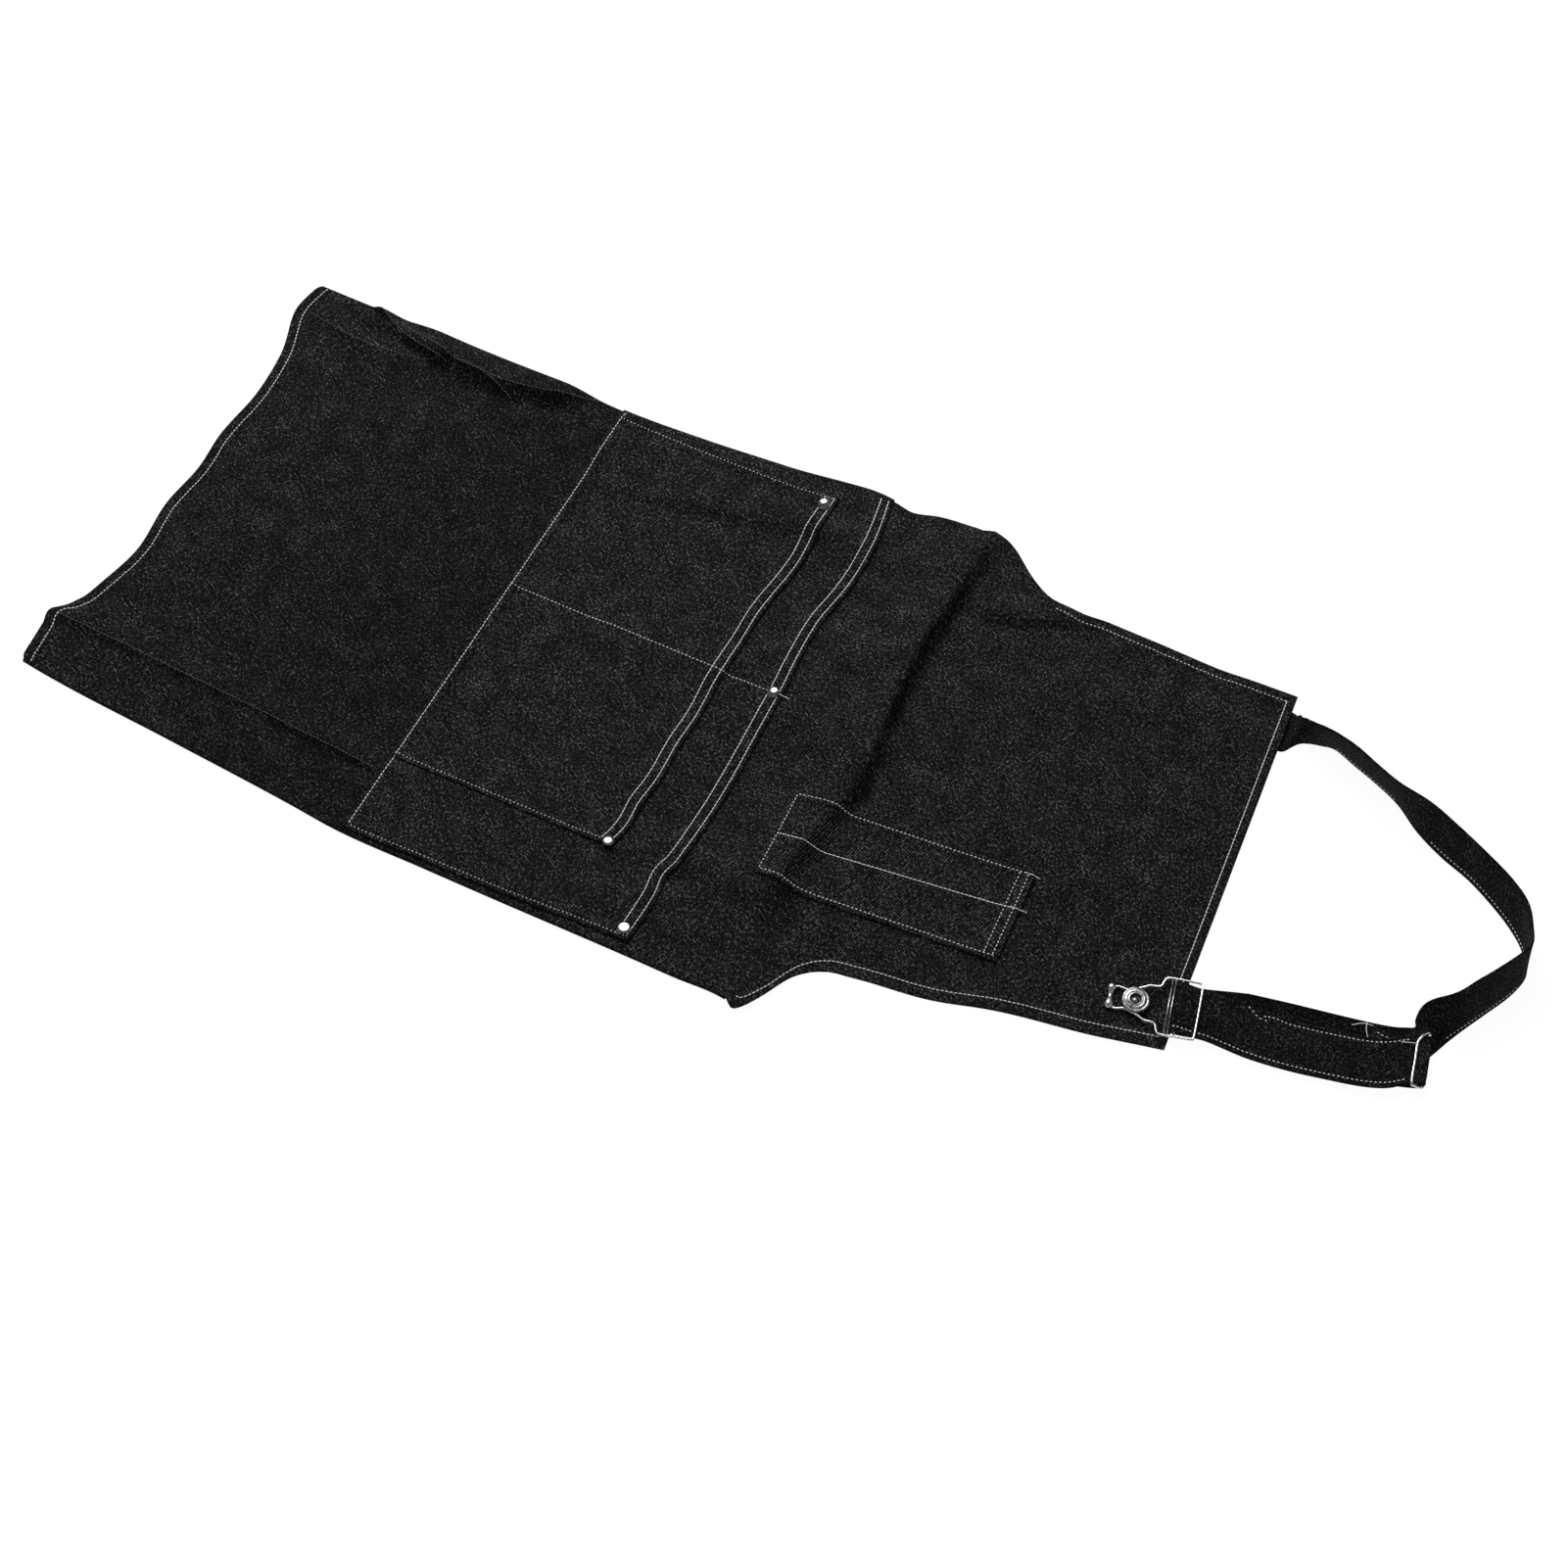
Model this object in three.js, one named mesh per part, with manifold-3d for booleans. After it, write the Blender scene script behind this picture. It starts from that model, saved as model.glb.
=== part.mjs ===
// A bib apron of heavy cloth, laid out with its side flaps folded under. Millimetres, +Z up.
// Laying frame: X = 0 on the pockets' bottom seam and grows toward the bib, Y = 0 on the small
// pocket's centre line and grows toward the far side, Z = 0 is the surface that it lies on.
import * as THREE from 'three';
import { mergeVertices } from 'three/addons/utils/BufferGeometryUtils.js';
import Module from 'manifold-3d';

const wasm = await Module();
wasm.setup();

const { clamp, lerp, degToRad } = THREE.MathUtils;

// Middle of the laid apron in the laying frame; the finished part is moved so that it lies at X = Y = 0
const BOX_CENTRE = { x: 249.75, y: -19.6 };

// Cloth
const CLOTH = 1.1; // one layer
const TURN = 0.9; // what a turned edge adds
const GAP = 0.3; // clearance between pieces
const FLAP_ROOM = 1.6; // air between a folded flap and the cloth above it
const FLAP_EASE = 14; // width over which the cloth comes down from a flap's edge
const HEM = -265; // X of the bottom hem on the centre line
const BIB_TOP = 577; // X of the bib's top edge on the centre line
const WAIST = 308; // X where the flaps end and the armholes begin
const BIB_EASE = 40; // length over which the skirt passes into the bib
const TURN_WIDTH = 11; // width of every turned edge
const BIB_SLOPE = 0.0858; // the bib lies slightly turned: its top edge runs back this much per mm of Y

// Pockets
const LARGE_TOP = 225;
const SMALL_TOP = 181;
const LARGE_UNDER = 30; // how far the large pocket reaches under the far fold
const MOUTH_GAPE = 0.7; // the open edges stand off by this much
const PEN = { foot: 275.5, mouth: 456, footY: -102.5, mouthY: -82, width: 76 };
const PEN_SLOPE = { foot: 0.065, mouth: 0.055 }; // its ends run back this much per mm of Y
const PEN_LINES = [-0.5, -0.38, -0.19, 0, 0.19, 0.38, 0.5]; // lines along it, as shares of its width
const PEN_CLEAR = 6; // cross rows nearer to its ends than this are left out

// Metal
const WIRE = 0.95; // radius of buckle and slider wire
const BAR = 0.8; // radius of the buckle's cross bars
const RIVET = { post: 1.6, hole: 2.0, burr: 3.6, burrThick: 0.8 };
const BUTTON = { x: 555.8, y: -103.5, neck: 3.4, neckLong: 3.2, hole: 2.4, post: 2.0 };
const TACK = { radius: 5, thick: 0.8 }; // the button's back plate
const BUCKLE_TURN = 14; // degrees from +X to the buckle's long axis
const SLIDER = { x: 741.8, y: -56.8, turn: 13.2, spacing: 7, length: 44.5, lowZ: 5.6, highZ: 9 };
const SLIDER_CORNER = { start: 3, end: 1.2 }; // where its wire leaves the bars, from each end

// Turned profiles of the heads: distance from the axis and height over the head's underside
const RIVET_HEAD = [
  { r: 4.8, z: 0 },
  { r: 4.8, z: 0.7 },
  { r: 4.0, z: 1.7 },
  { r: 2.4, z: 2.3 },
  { r: 0, z: 2.5 },
];
const BUTTON_HEAD = [
  { r: 7.8, z: 0 },
  { r: 9.8, z: 1.0 },
  { r: 9.8, z: 1.8 },
  { r: 8.4, z: 2.8 },
  { r: 6.1, z: 2.9 },
  { r: 5.5, z: 2.5 },
  { r: 4.1, z: 2.4 },
  { r: 3.3, z: 1.5 },
  { r: 1.2, z: 1.5 },
  { r: 0, z: 2.1 },
];
const ROUND = { rivet: 14, button: 22, wire: 6, hole: 10 }; // sides of what is round
const BUCKLE_SEGMENTS = 84; // facets along the buckle's wire
const SLIDER_SEGMENTS = 48; // facets along the slider's wire

// Strap
const STRAP = { width: 38, thick: 1.8 };
const STRAP_STEPS = 3; // stations between two rows of the strap's table
const BAR_TURN_STEPS = 6; // facets of the strap round a bar

// Visible outline of the laid cloth, a row for each section: near and far edge, width of the flap
// folded under each, height that the far flap is carried at, and how far inside the near fold and
// the far fold the two pockets' side seams lie
const OUTLINE = [
  { x: -265, near: -228.5, far: 172.5, nearFlap: 45, farFlap: 29, base: 0, largeInset: 8, smallInset: 9 },
  { x: -230, near: -231.5, far: 173, nearFlap: 47, farFlap: 30, base: 0, largeInset: 8, smallInset: 8 },
  { x: -150, near: -235, far: 174.5, nearFlap: 50, farFlap: 33, base: 0, largeInset: 8, smallInset: 7 },
  { x: -40, near: -240, far: 175.5, nearFlap: 53, farFlap: 38, base: 0, largeInset: 8, smallInset: 7 },
  { x: -10, near: -242, far: 174, nearFlap: 54, farFlap: 40, base: 1.5, largeInset: 8, smallInset: 6.5 },
  { x: 70, near: -240, far: 178.2, nearFlap: 53, farFlap: 42, base: 1.5, largeInset: 9, smallInset: 10 },
  { x: 130, near: -238, far: 184.5, nearFlap: 52, farFlap: 44, base: 1.5, largeInset: 10, smallInset: 15.5 },
  { x: 230, near: -234, far: 193.7, nearFlap: 49, farFlap: 46, base: 1.5, largeInset: 11.5, smallInset: 21 },
  { x: 262, near: -233, far: 198, nearFlap: 47, farFlap: 45, base: 0, largeInset: 11, smallInset: 18 },
  { x: 296, near: -231, far: 201, nearFlap: 44, farFlap: 42, base: 0, largeInset: 10, smallInset: 15 },
  { x: 308, near: -232, far: 202.5, nearFlap: 43, farFlap: 41, base: 0, largeInset: 9, smallInset: 9 },
  { x: 320, near: -218.5, far: 202, nearFlap: 36, farFlap: 38, base: 0, largeInset: 8, smallInset: 8 },
  { x: 332, near: -196, far: 196.5, nearFlap: 28, farFlap: 34, base: 0, largeInset: 8, smallInset: 8 },
  { x: 338, near: -189, far: 192, nearFlap: 26, farFlap: 32, base: 0, largeInset: 8, smallInset: 8 },
  { x: 350, near: -180.8, far: 183, nearFlap: 26, farFlap: 30, base: 0, largeInset: 8, smallInset: 8 },
  { x: 368, near: -176.3, far: 173, nearFlap: 26, farFlap: 30, base: 0, largeInset: 8, smallInset: 8 },
  { x: 424, near: -166, far: 172, nearFlap: 26, farFlap: 30, base: 0, largeInset: 8, smallInset: 8 },
  { x: 460, near: -154.3, far: 172.3, nearFlap: 26, farFlap: 30, base: 0, largeInset: 8, smallInset: 8 },
  { x: 532, near: -138.5, far: 172.5, nearFlap: 26, farFlap: 30, base: 0, largeInset: 8, smallInset: 8 },
  { x: 577, near: -126.7, far: 175, nearFlap: 26, farFlap: 30, base: 0, largeInset: 8, smallInset: 8 },
];

// Where the cross rows of the cloth lie: each span runs from the one before it in equal steps
const SPANS = [
  { to: HEM + TURN_WIDTH, steps: 1 },
  { to: 0, steps: 10 },
  { to: TURN_WIDTH, steps: 1 },
  { to: SMALL_TOP - TURN_WIDTH, steps: 5 },
  { to: SMALL_TOP, steps: 1 },
  { to: LARGE_TOP - TURN_WIDTH, steps: 2 },
  { to: LARGE_TOP, steps: 1 },
  { to: 284, steps: 4 },
  { to: WAIST, steps: 4 },
  { to: 350, steps: 7 },
  { to: 386, steps: 3 },
  { to: BIB_TOP - TURN_WIDTH, steps: 8 },
  { to: BIB_TOP, steps: 1 },
];

// Shift of the bottom hem along X, by Y
const HEM_WAVE = [
  { y: -230, shift: -20 },
  { y: -183, shift: -23 },
  { y: -165, shift: -13 },
  { y: -140, shift: -6 },
  { y: -110, shift: 0 },
  { y: -60, shift: -4 },
  { y: -20, shift: -0.5 },
  { y: 10, shift: -3 },
  { y: 60, shift: 0.5 },
  { y: 100, shift: -3.5 },
  { y: 145, shift: -15.5 },
  { y: 172, shift: -11.5 },
];
const HEM_REACH = 110; // the hem's waves die out over this length

// Shift of the two pocket mouths along X, by Y
const MOUTH_WAVE = [
  { y: -230, small: -3, large: -5 },
  { y: -164, small: -3, large: -2 },
  { y: -128, small: -1, large: 3 },
  { y: -80, small: 0, large: 1 },
  { y: 0, small: -1, large: -1 },
  { y: 52, small: -3, large: -2 },
  { y: 106, small: 3, large: 1 },
  { y: 142, small: 4, large: 5 },
  { y: 172, small: 4, large: 4 },
  { y: 198, small: 2, large: -3 },
];
const MOUTH_FADE = 65; // the large mouth's waves die out over this length of the skirt above it

// Ridges of the laid cloth. Each runs between two points, bowed to its left, and falls away over
// the left and right widths, seen along the run
const FOLDS = [
  { x0: 295, y0: 250, x1: 297, y1: -175, bow: 0, height: 12, left: 14, right: 62, fade: 40 }, // waist crease
  { x0: -236, y0: 176, x1: -20, y1: 178, bow: -15, height: 5, left: 34, right: 11, fade: 60 }, // far roll
  { x0: 385, y0: 178, x1: 325, y1: 128, bow: 0, height: 3, left: 22, right: 16, fade: 25 }, // armhole crease
];

// Places where the cloth is held off the surface by what lies under it
const RISES = [
  { x: 174.4, y: -162.7, height: 1.4, core: 8, reach: 45 }, // back of a rivet
  { x: 219.5, y: 2.3, height: 2, core: 12, reach: 50 }, // back of a rivet
  { x: BUTTON.x, y: BUTTON.y, height: 1.4, core: 10, reach: 40 }, // back of the button
  { x: 556, y: 146, height: 2.8, core: 34, reach: 64 }, // sewn end of the strap
];

// Rivets through the pocket mouths, with the pockets that each goes through
const RIVETS = [
  { name: 'rivet_small_far', x: 177, y: 166.5, pockets: 2 },
  { name: 'rivet_small_near', x: 174.4, y: -162.7, pockets: 2 },
  { name: 'rivet_large_centre', x: 219.5, y: 2.3, pockets: 1 },
  { name: 'rivet_large_near', x: 215, y: -217, pockets: 1 },
];

// The strap from the bib round to the buckle: the edge that it rests on, its heading in degrees from
// +X, its lean about that edge, from 0 (flat, lying outward) over 90 (on edge) to 180 (flat, lying
// inward), and its width, which is less where it curls
const STRAP_RUN = [
  { x: 546, y: 128, turn: 0, lean: 0, width: 38 },
  { x: 558, y: 127.5, turn: 0, lean: 0, width: 38 },
  { x: 568, y: 127.5, turn: 0, lean: 0, width: 38 },
  { x: 573, y: 134, turn: 2, lean: 40, width: 27 },
  { x: 578, y: 141, turn: 4, lean: 75, width: 27 },
  { x: 584, y: 144.5, turn: 3, lean: 92, width: 32 },
  { x: 592, y: 146.8, turn: 0, lean: 100, width: 36 },
  { x: 603, y: 148.5, turn: -8, lean: 105, width: 38 },
  { x: 620, y: 142.5, turn: -18, lean: 102, width: 38 },
  { x: 640, y: 135.5, turn: -21, lean: 103, width: 38 },
  { x: 660, y: 126.5, turn: -29, lean: 100, width: 38 },
  { x: 680, y: 112, turn: -32, lean: 83, width: 38 },
  { x: 702, y: 101, turn: -26, lean: 79, width: 38 },
  { x: 726, y: 92.5, turn: -25, lean: 82, width: 38 },
  { x: 748, y: 81, turn: -30, lean: 81, width: 38 },
  { x: 765, y: 70, turn: -36, lean: 83, width: 38 },
  { x: 778, y: 58.5, turn: -50, lean: 92, width: 38 },
  { x: 785, y: 47, turn: -72, lean: 96, width: 38 },
  { x: 787, y: 36, turn: -96, lean: 103, width: 38 },
  { x: 782, y: 19, turn: -113, lean: 108, width: 38 },
  { x: 772, y: -1, turn: -117, lean: 111, width: 38 },
  { x: 761, y: -23, turn: -116, lean: 119, width: 37 },
  { x: 751.5, y: -46, turn: -135, lean: 170, width: 29 },
  { x: 747.5, y: -53, turn: -147, lean: 180, width: 26 },
  { x: 743, y: -59.5, turn: -150, lean: 180, width: 29 },
  { x: 735, y: -67.5, turn: -153, lean: 180, width: 33 },
  { x: 720, y: -76.5, turn: -161, lean: 180, width: 37 },
  { x: 695, y: -83.5, turn: -167, lean: 180, width: 38 },
  { x: 660, y: -91, turn: -167, lean: 180, width: 38 },
  { x: 632, y: -97.5, turn: -166, lean: 180, width: 38 },
];

// The strap's way through the buckle, on the buckle's axis: distance from the button and height of
// its middle, first on the way in and then on the way out
const BUCKLE_WAY_IN = [
  { a: 62, z: 1.6 },
  { a: 52, z: 2.6 },
  { a: 43, z: 4.0 },
  { a: 36, z: 4.8 },
];
const BUCKLE_WAY_OUT = [
  { a: 36, z: 8.2 },
  { a: 43, z: 6.15 },
  { a: 52, z: 5.0 },
];

// The strap's upper layer back to the slider, and its end between the layers
const STRAP_BACK = [
  { x: 622, y: -89.5, z: 3.9, turn: 6 },
  { x: 640, y: -88.5, z: 3.6, turn: 7 },
  { x: 665, y: -84.5, z: 3.7, turn: 11 },
  { x: 690, y: -79, z: 4.6, turn: 13 },
  { x: 712, y: -73.5, z: 5.7, turn: 15 },
  { x: 727, y: -67, z: 6.1, turn: 19 },
];
const STRAP_END = [
  { x: 734, y: -60, z: 3.45, turn: 13.2 },
  { x: 720, y: -62, z: 3.35, turn: 13 },
  { x: 707, y: -64.5, z: 3.35, turn: 13 },
];

// Half of the buckle's wire on its axis: distance from the button and to the side
const BUCKLE_WIRE = [
  { a: -20, b: 3.5 },
  { a: -17.5, b: 7 },
  { a: -12, b: 8.2 },
  { a: -7, b: 7.4 },
  { a: -1, b: 9.2 },
  { a: 4, b: 11.2 },
  { a: 8, b: 13.3 },
  { a: 15, b: 14.2 },
  { a: 17, b: 18.5 },
  { a: 19.5, b: 21.6 },
  { a: 30, b: 21.8 },
  { a: 41, b: 21.6 },
  { a: 43, b: 20.2 },
  { a: 43.4, b: 10 },
];
const BUCKLE_RISE = { tip: 4.0, end: 8.5, length: 62 }; // heights of the wire at both ends
const BUCKLE_BARS = [{ a: 22.6, b: 21.6 }, { a: 24.9, b: 21.6 }, { a: 29.6, b: 21.6 }];
const FOLD_BAR = BUCKLE_BARS[2]; // the strap is folded round this one

const cloth = new THREE.MeshStandardMaterial({ color: 0x232325, roughness: 0.9, metalness: 0 });
const nickel = new THREE.MeshStandardMaterial({ color: 0xb9babb, roughness: 0.3, metalness: 1 });

// Numbers from tables

function ease(t) {
  const s = clamp(t, 0, 1);
  return s * s * (3 - 2 * s);
}

function interpolate(table, key, at) {
  const next = table.findIndex((row) => row[key] >= at);
  const k = next < 0 ? table.length - 1 : Math.max(next, 1);
  const [lower, upper] = [table[k - 1], table[k]];
  const t = clamp((at - lower[key]) / (upper[key] - lower[key]), 0, 1);
  return Object.fromEntries(Object.keys(lower).map((name) => [name, lerp(lower[name], upper[name], t)]));
}

function rowStations() {
  const stations = [HEM];
  for (const span of SPANS) {
    const from = stations[stations.length - 1];
    for (let k = 1; k <= span.steps; k += 1) {
      stations.push(lerp(from, span.to, k / span.steps));
    }
  }
  return stations;
}

// Shape of the laid cloth

function foldHeight(fold, x, y) {
  const run = new THREE.Vector2(fold.x1 - fold.x0, fold.y1 - fold.y0);
  const length = run.length();
  run.normalize();
  const along = (x - fold.x0) * run.x + (y - fold.y0) * run.y;
  const bow = fold.bow * Math.sin(Math.PI * clamp(along / length, 0, 1));
  const aside = -(x - fold.x0) * run.y + (y - fold.y0) * run.x - bow;
  const reach = aside > 0 ? fold.left : fold.right;
  const across = 0.5 + 0.5 * Math.cos(Math.PI * clamp(Math.abs(aside) / reach, 0, 1));
  return fold.height * across * ease(along / fold.fade) * ease((length - along) / fold.fade);
}

function riseHeight(rise, x, y) {
  const distance = Math.hypot(x - rise.x, y - rise.y);
  return rise.height * (1 - ease((distance - rise.core) / (rise.reach - rise.core)));
}

// Height of the cloth's underside over the surface
function lift(row, x, y) {
  const flaps = 1 - ease((row.x - WAIST) / BIB_EASE);
  const near = ease((row.near + row.nearFlap + FLAP_EASE - y) / FLAP_EASE) * (CLOTH + FLAP_ROOM);
  const far = ease((y - row.far + row.farFlap + FLAP_EASE) / FLAP_EASE) * (CLOTH + FLAP_ROOM + row.base);
  const folds = FOLDS.reduce((sum, fold) => sum + foldHeight(fold, x, y), 0);
  const rises = RISES.map((rise) => riseHeight(rise, x, y));
  return Math.max(flaps * Math.max(near, far), ...rises) + folds;
}

// X of a point of a row: the row's own place, moved by the waves of hem and mouths and the bib's turn
function rowX(u, y) {
  const hem = interpolate(HEM_WAVE, 'y', y).shift * (1 - ease((u - HEM) / HEM_REACH));
  const wave = interpolate(MOUTH_WAVE, 'y', y);
  const small = u < SMALL_TOP ? ease(u / SMALL_TOP) : ease((LARGE_TOP - u) / (LARGE_TOP - SMALL_TOP));
  const large = ease((u - SMALL_TOP) / (LARGE_TOP - SMALL_TOP)) * (1 - ease((u - LARGE_TOP) / MOUTH_FADE));
  const turn = clamp((u - LARGE_TOP) / (BIB_TOP - LARGE_TOP), 0, 1);
  return u + hem + wave.small * small + wave.large * large - BIB_SLOPE * turn * y;
}

// Spacing of the lines along the apron, on the skirt and on the narrower bib
const SPACING = {
  skirt: { seam: TURN_WIDTH, flap: 2, smallNear: 70, farStep: 16 },
  bib: { seam: 6, flap: 0, smallNear: 34, farStep: 8 },
};

// Lines that run along the apron, from the near fold to the far fold, as places across a row
const COLUMNS = {
  nearFold: 0, nearSeam: 1, nearSeamIn: 2, nearFlapEdge: 3, smallNear: 4, smallNearIn: 5,
  firstMiddle: 6, lastMiddle: 10, farStep: 11, farFlapEdge: 12, smallFarIn: 13, smallFar: 14, farFold: 15,
};
const MIDDLES = COLUMNS.lastMiddle - COLUMNS.firstMiddle + 2;

function columnYs(row, nearRoll, farRoll) {
  const narrow = ease((row.x - WAIST) / BIB_EASE);
  const spacing = (name) => lerp(SPACING.skirt[name], SPACING.bib[name], narrow);
  const nearSeam = row.near + row.largeInset;
  const smallNear = row.near + spacing('smallNear');
  const smallFar = row.far - row.smallInset;
  const farFlapEdge = row.far - row.farFlap;
  const farStep = farFlapEdge - spacing('farStep');
  const ys = [
    row.near + nearRoll,
    nearSeam,
    nearSeam + spacing('seam'),
    row.near + row.nearFlap + spacing('flap'),
    smallNear,
    smallNear + spacing('seam'),
  ];
  for (let k = 1; k < MIDDLES; k += 1) {
    ys.push(lerp(ys[COLUMNS.smallNearIn], farStep, k / MIDDLES));
  }
  ys.push(farStep, farFlapEdge - spacing('flap'));
  ys.push(smallFar - spacing('seam'), smallFar, row.far - farRoll);
  return ys;
}

// One row of the laid cloth: its places across, with the height of the underside at each
function layRow(u) {
  const row = interpolate(OUTLINE, 'x', u);
  const folded = u <= WAIST;
  const edgeLift = (y) => lift(row, rowX(u, y), y);
  const nearRoll = folded ? (edgeLift(row.near) + CLOTH) / 2 : 0;
  const farRoll = folded ? (edgeLift(row.far) + CLOTH - row.base) / 2 : 0;
  const places = columnYs(row, nearRoll, farRoll).map((y) => {
    const x = rowX(u, y);
    return { x, y, z: lift(row, x, y) };
  });
  return { ...row, u, folded, nearRoll, farRoll, places };
}

const ROWS = rowStations().map(layRow);

// Cloth solids

// Closed mesh from a grid of cloth points, each with its face and its back: present cells get two
// skins, and every free edge of a cell gets a wall
function clothGeometry(grid) {
  const positions = [];
  const index = [];
  const ids = grid.map((line) => line.map((point) => {
    if (!point) {
      return null;
    }
    positions.push(...point.face, ...point.back);
    return positions.length / 3 - 2;
  }));
  const present = (i, j) => [[i, j], [i + 1, j], [i + 1, j + 1], [i, j + 1]]
    .every(([k, m]) => ids[k] !== undefined && Number.isInteger(ids[k][m]));
  const quad = (a, b, c, d) => index.push(a, b, c, a, c, d);
  for (let i = 0; i + 1 < grid.length; i += 1) {
    for (let j = 0; j + 1 < grid[i].length; j += 1) {
      if (!present(i, j)) {
        continue;
      }
      const corners = [ids[i][j], ids[i + 1][j], ids[i + 1][j + 1], ids[i][j + 1]];
      const [a, b, c, d] = corners;
      quad(a, b, c, d);
      quad(a + 1, d + 1, c + 1, b + 1);
      const neighbours = [[i, j - 1], [i + 1, j], [i, j + 1], [i - 1, j]];
      neighbours.forEach(([k, m], side) => {
        if (!present(k, m)) {
          const [from, to] = [corners[side], corners[(side + 1) % 4]];
          quad(from + 1, to + 1, to, from);
        }
      });
    }
  }
  const geometry = new THREE.BufferGeometry();
  geometry.setAttribute('position', new THREE.Float32BufferAttribute(positions, 3));
  geometry.setIndex(index);
  return geometry;
}

function clothPoint(x, y, faceZ, backZ) {
  return { face: [x, y, faceZ], back: [x, y, backZ] };
}

// Points round a fold, from just past the top to just before the bottom: side is -1 near, +1 far
const FOLD_ANGLES = [45, 0, -45];

function foldPoints(x, y, z, side, outer, inner) {
  return FOLD_ANGLES.map((angle) => {
    const [c, s] = [Math.cos(degToRad(angle)), Math.sin(degToRad(angle))];
    const at = (radius) => [x, y + side * radius * c, z + radius * s];
    return { face: at(outer), back: at(inner) };
  });
}

const FLAP_LINES = [0, 0.4, 0.74, 1]; // lines across a flap, as shares of its width

// One folded side of the body: the roll and the flap beneath, listed from the top down
function bodySide(row, side) {
  const near = side < 0;
  const roll = near ? row.nearRoll : row.farRoll;
  const base = near ? 0 : row.base;
  const edge = near ? row.places[0] : row.places[COLUMNS.farFold];
  const points = foldPoints(edge.x, edge.y, base + roll, side, roll, roll - CLOTH);
  const width = (near ? row.nearFlap : row.farFlap) - roll;
  FLAP_LINES.forEach((share, k) => {
    const y = edge.y - side * share * width;
    const turn = k + 1 === FLAP_LINES.length ? TURN : 0;
    points.push(clothPoint(rowX(row.u, y), y, base, base + CLOTH + turn));
  });
  return row.folded ? points : points.map(() => null);
}

function bodyTurn(row, i, j) {
  const hemmed = i === 0 || i === ROWS.length - 1;
  const bibEdge = !row.folded && (j === COLUMNS.nearFold || j === COLUMNS.farFold);
  return hemmed || bibEdge ? TURN : 0;
}

function bodyTop(row, i) {
  return row.places.map((at, j) => clothPoint(at.x, at.y, at.z + CLOTH + bodyTurn(row, i, j), at.z));
}

function bodyGrid() {
  return ROWS.map((row, i) => [...bodySide(row, -1).reverse(), ...bodyTop(row, i), ...bodySide(row, 1)]);
}

// Height that a pocket's turned edges add, full on the seam lines and the mouth
function largeTurn(row, j) {
  const onSeam = j === COLUMNS.nearSeam || row.u === 0 || row.u === LARGE_TOP;
  return onSeam ? TURN : 0;
}

function smallTurn(row, j) {
  const onSeam = j === COLUMNS.smallNear || j === COLUMNS.smallFar || row.u === 0 || row.u === SMALL_TOP;
  return onSeam ? TURN : 0;
}

function largeBackZ(row, at) {
  return at.z + CLOTH + GAP + (row.u === LARGE_TOP ? MOUTH_GAPE : 0);
}

function largeFaceZ(row, at, j) {
  return largeBackZ(row, at) + CLOTH + largeTurn(row, j);
}

const WRAP_LINES = [0, 0.5, 1]; // lines across the wrapped end of the large pocket, as shares of it

// The large pocket's far end: round the far fold and under the flap
function largeWrap(row) {
  const edge = row.places[COLUMNS.farFold];
  const inner = row.farRoll + GAP;
  const points = foldPoints(edge.x, edge.y, row.base + row.farRoll, 1, inner + CLOTH, inner);
  WRAP_LINES.forEach((share) => {
    const y = edge.y - share * LARGE_UNDER;
    points.push(clothPoint(rowX(row.u, y), y, row.base - GAP - CLOTH, row.base - GAP));
  });
  return points;
}

function largePocketGrid() {
  const rows = ROWS.filter((row) => row.u >= 0 && row.u <= LARGE_TOP);
  return rows.map((row) => {
    const top = row.places.map((at, j) => (
      j < COLUMNS.nearSeam ? null : clothPoint(at.x, at.y, largeFaceZ(row, at, j), largeBackZ(row, at))
    ));
    return [...top, ...largeWrap(row)];
  });
}

function smallPocketGrid() {
  const rows = ROWS.filter((row) => row.u >= 0 && row.u <= SMALL_TOP);
  return rows.map((row) => row.places.map((at, j) => {
    if (j < COLUMNS.smallNear || j > COLUMNS.smallFar) {
      return null;
    }
    const gape = row.u === SMALL_TOP ? MOUTH_GAPE : 0;
    const back = largeFaceZ(row, at, j) + GAP + gape;
    return clothPoint(at.x, at.y, back + CLOTH + smallTurn(row, j), back);
  }));
}

// Place on the faceted top of the body, for what lies on it at its own angle
function onRow(row, y) {
  const next = clamp(row.places.findIndex((at) => at.y > y), 1, row.places.length - 1);
  const [from, to] = [row.places[next - 1], row.places[next]];
  const t = (y - from.y) / (to.y - from.y);
  return { x: lerp(from.x, to.x, t), z: lerp(from.z, to.z, t) + CLOTH };
}

function bodyTopZ(x, y) {
  const next = clamp(ROWS.findIndex((row) => onRow(row, y).x > x), 1, ROWS.length - 1);
  const [from, to] = [onRow(ROWS[next - 1], y), onRow(ROWS[next], y)];
  return lerp(from.z, to.z, (x - from.x) / (to.x - from.x));
}

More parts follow.
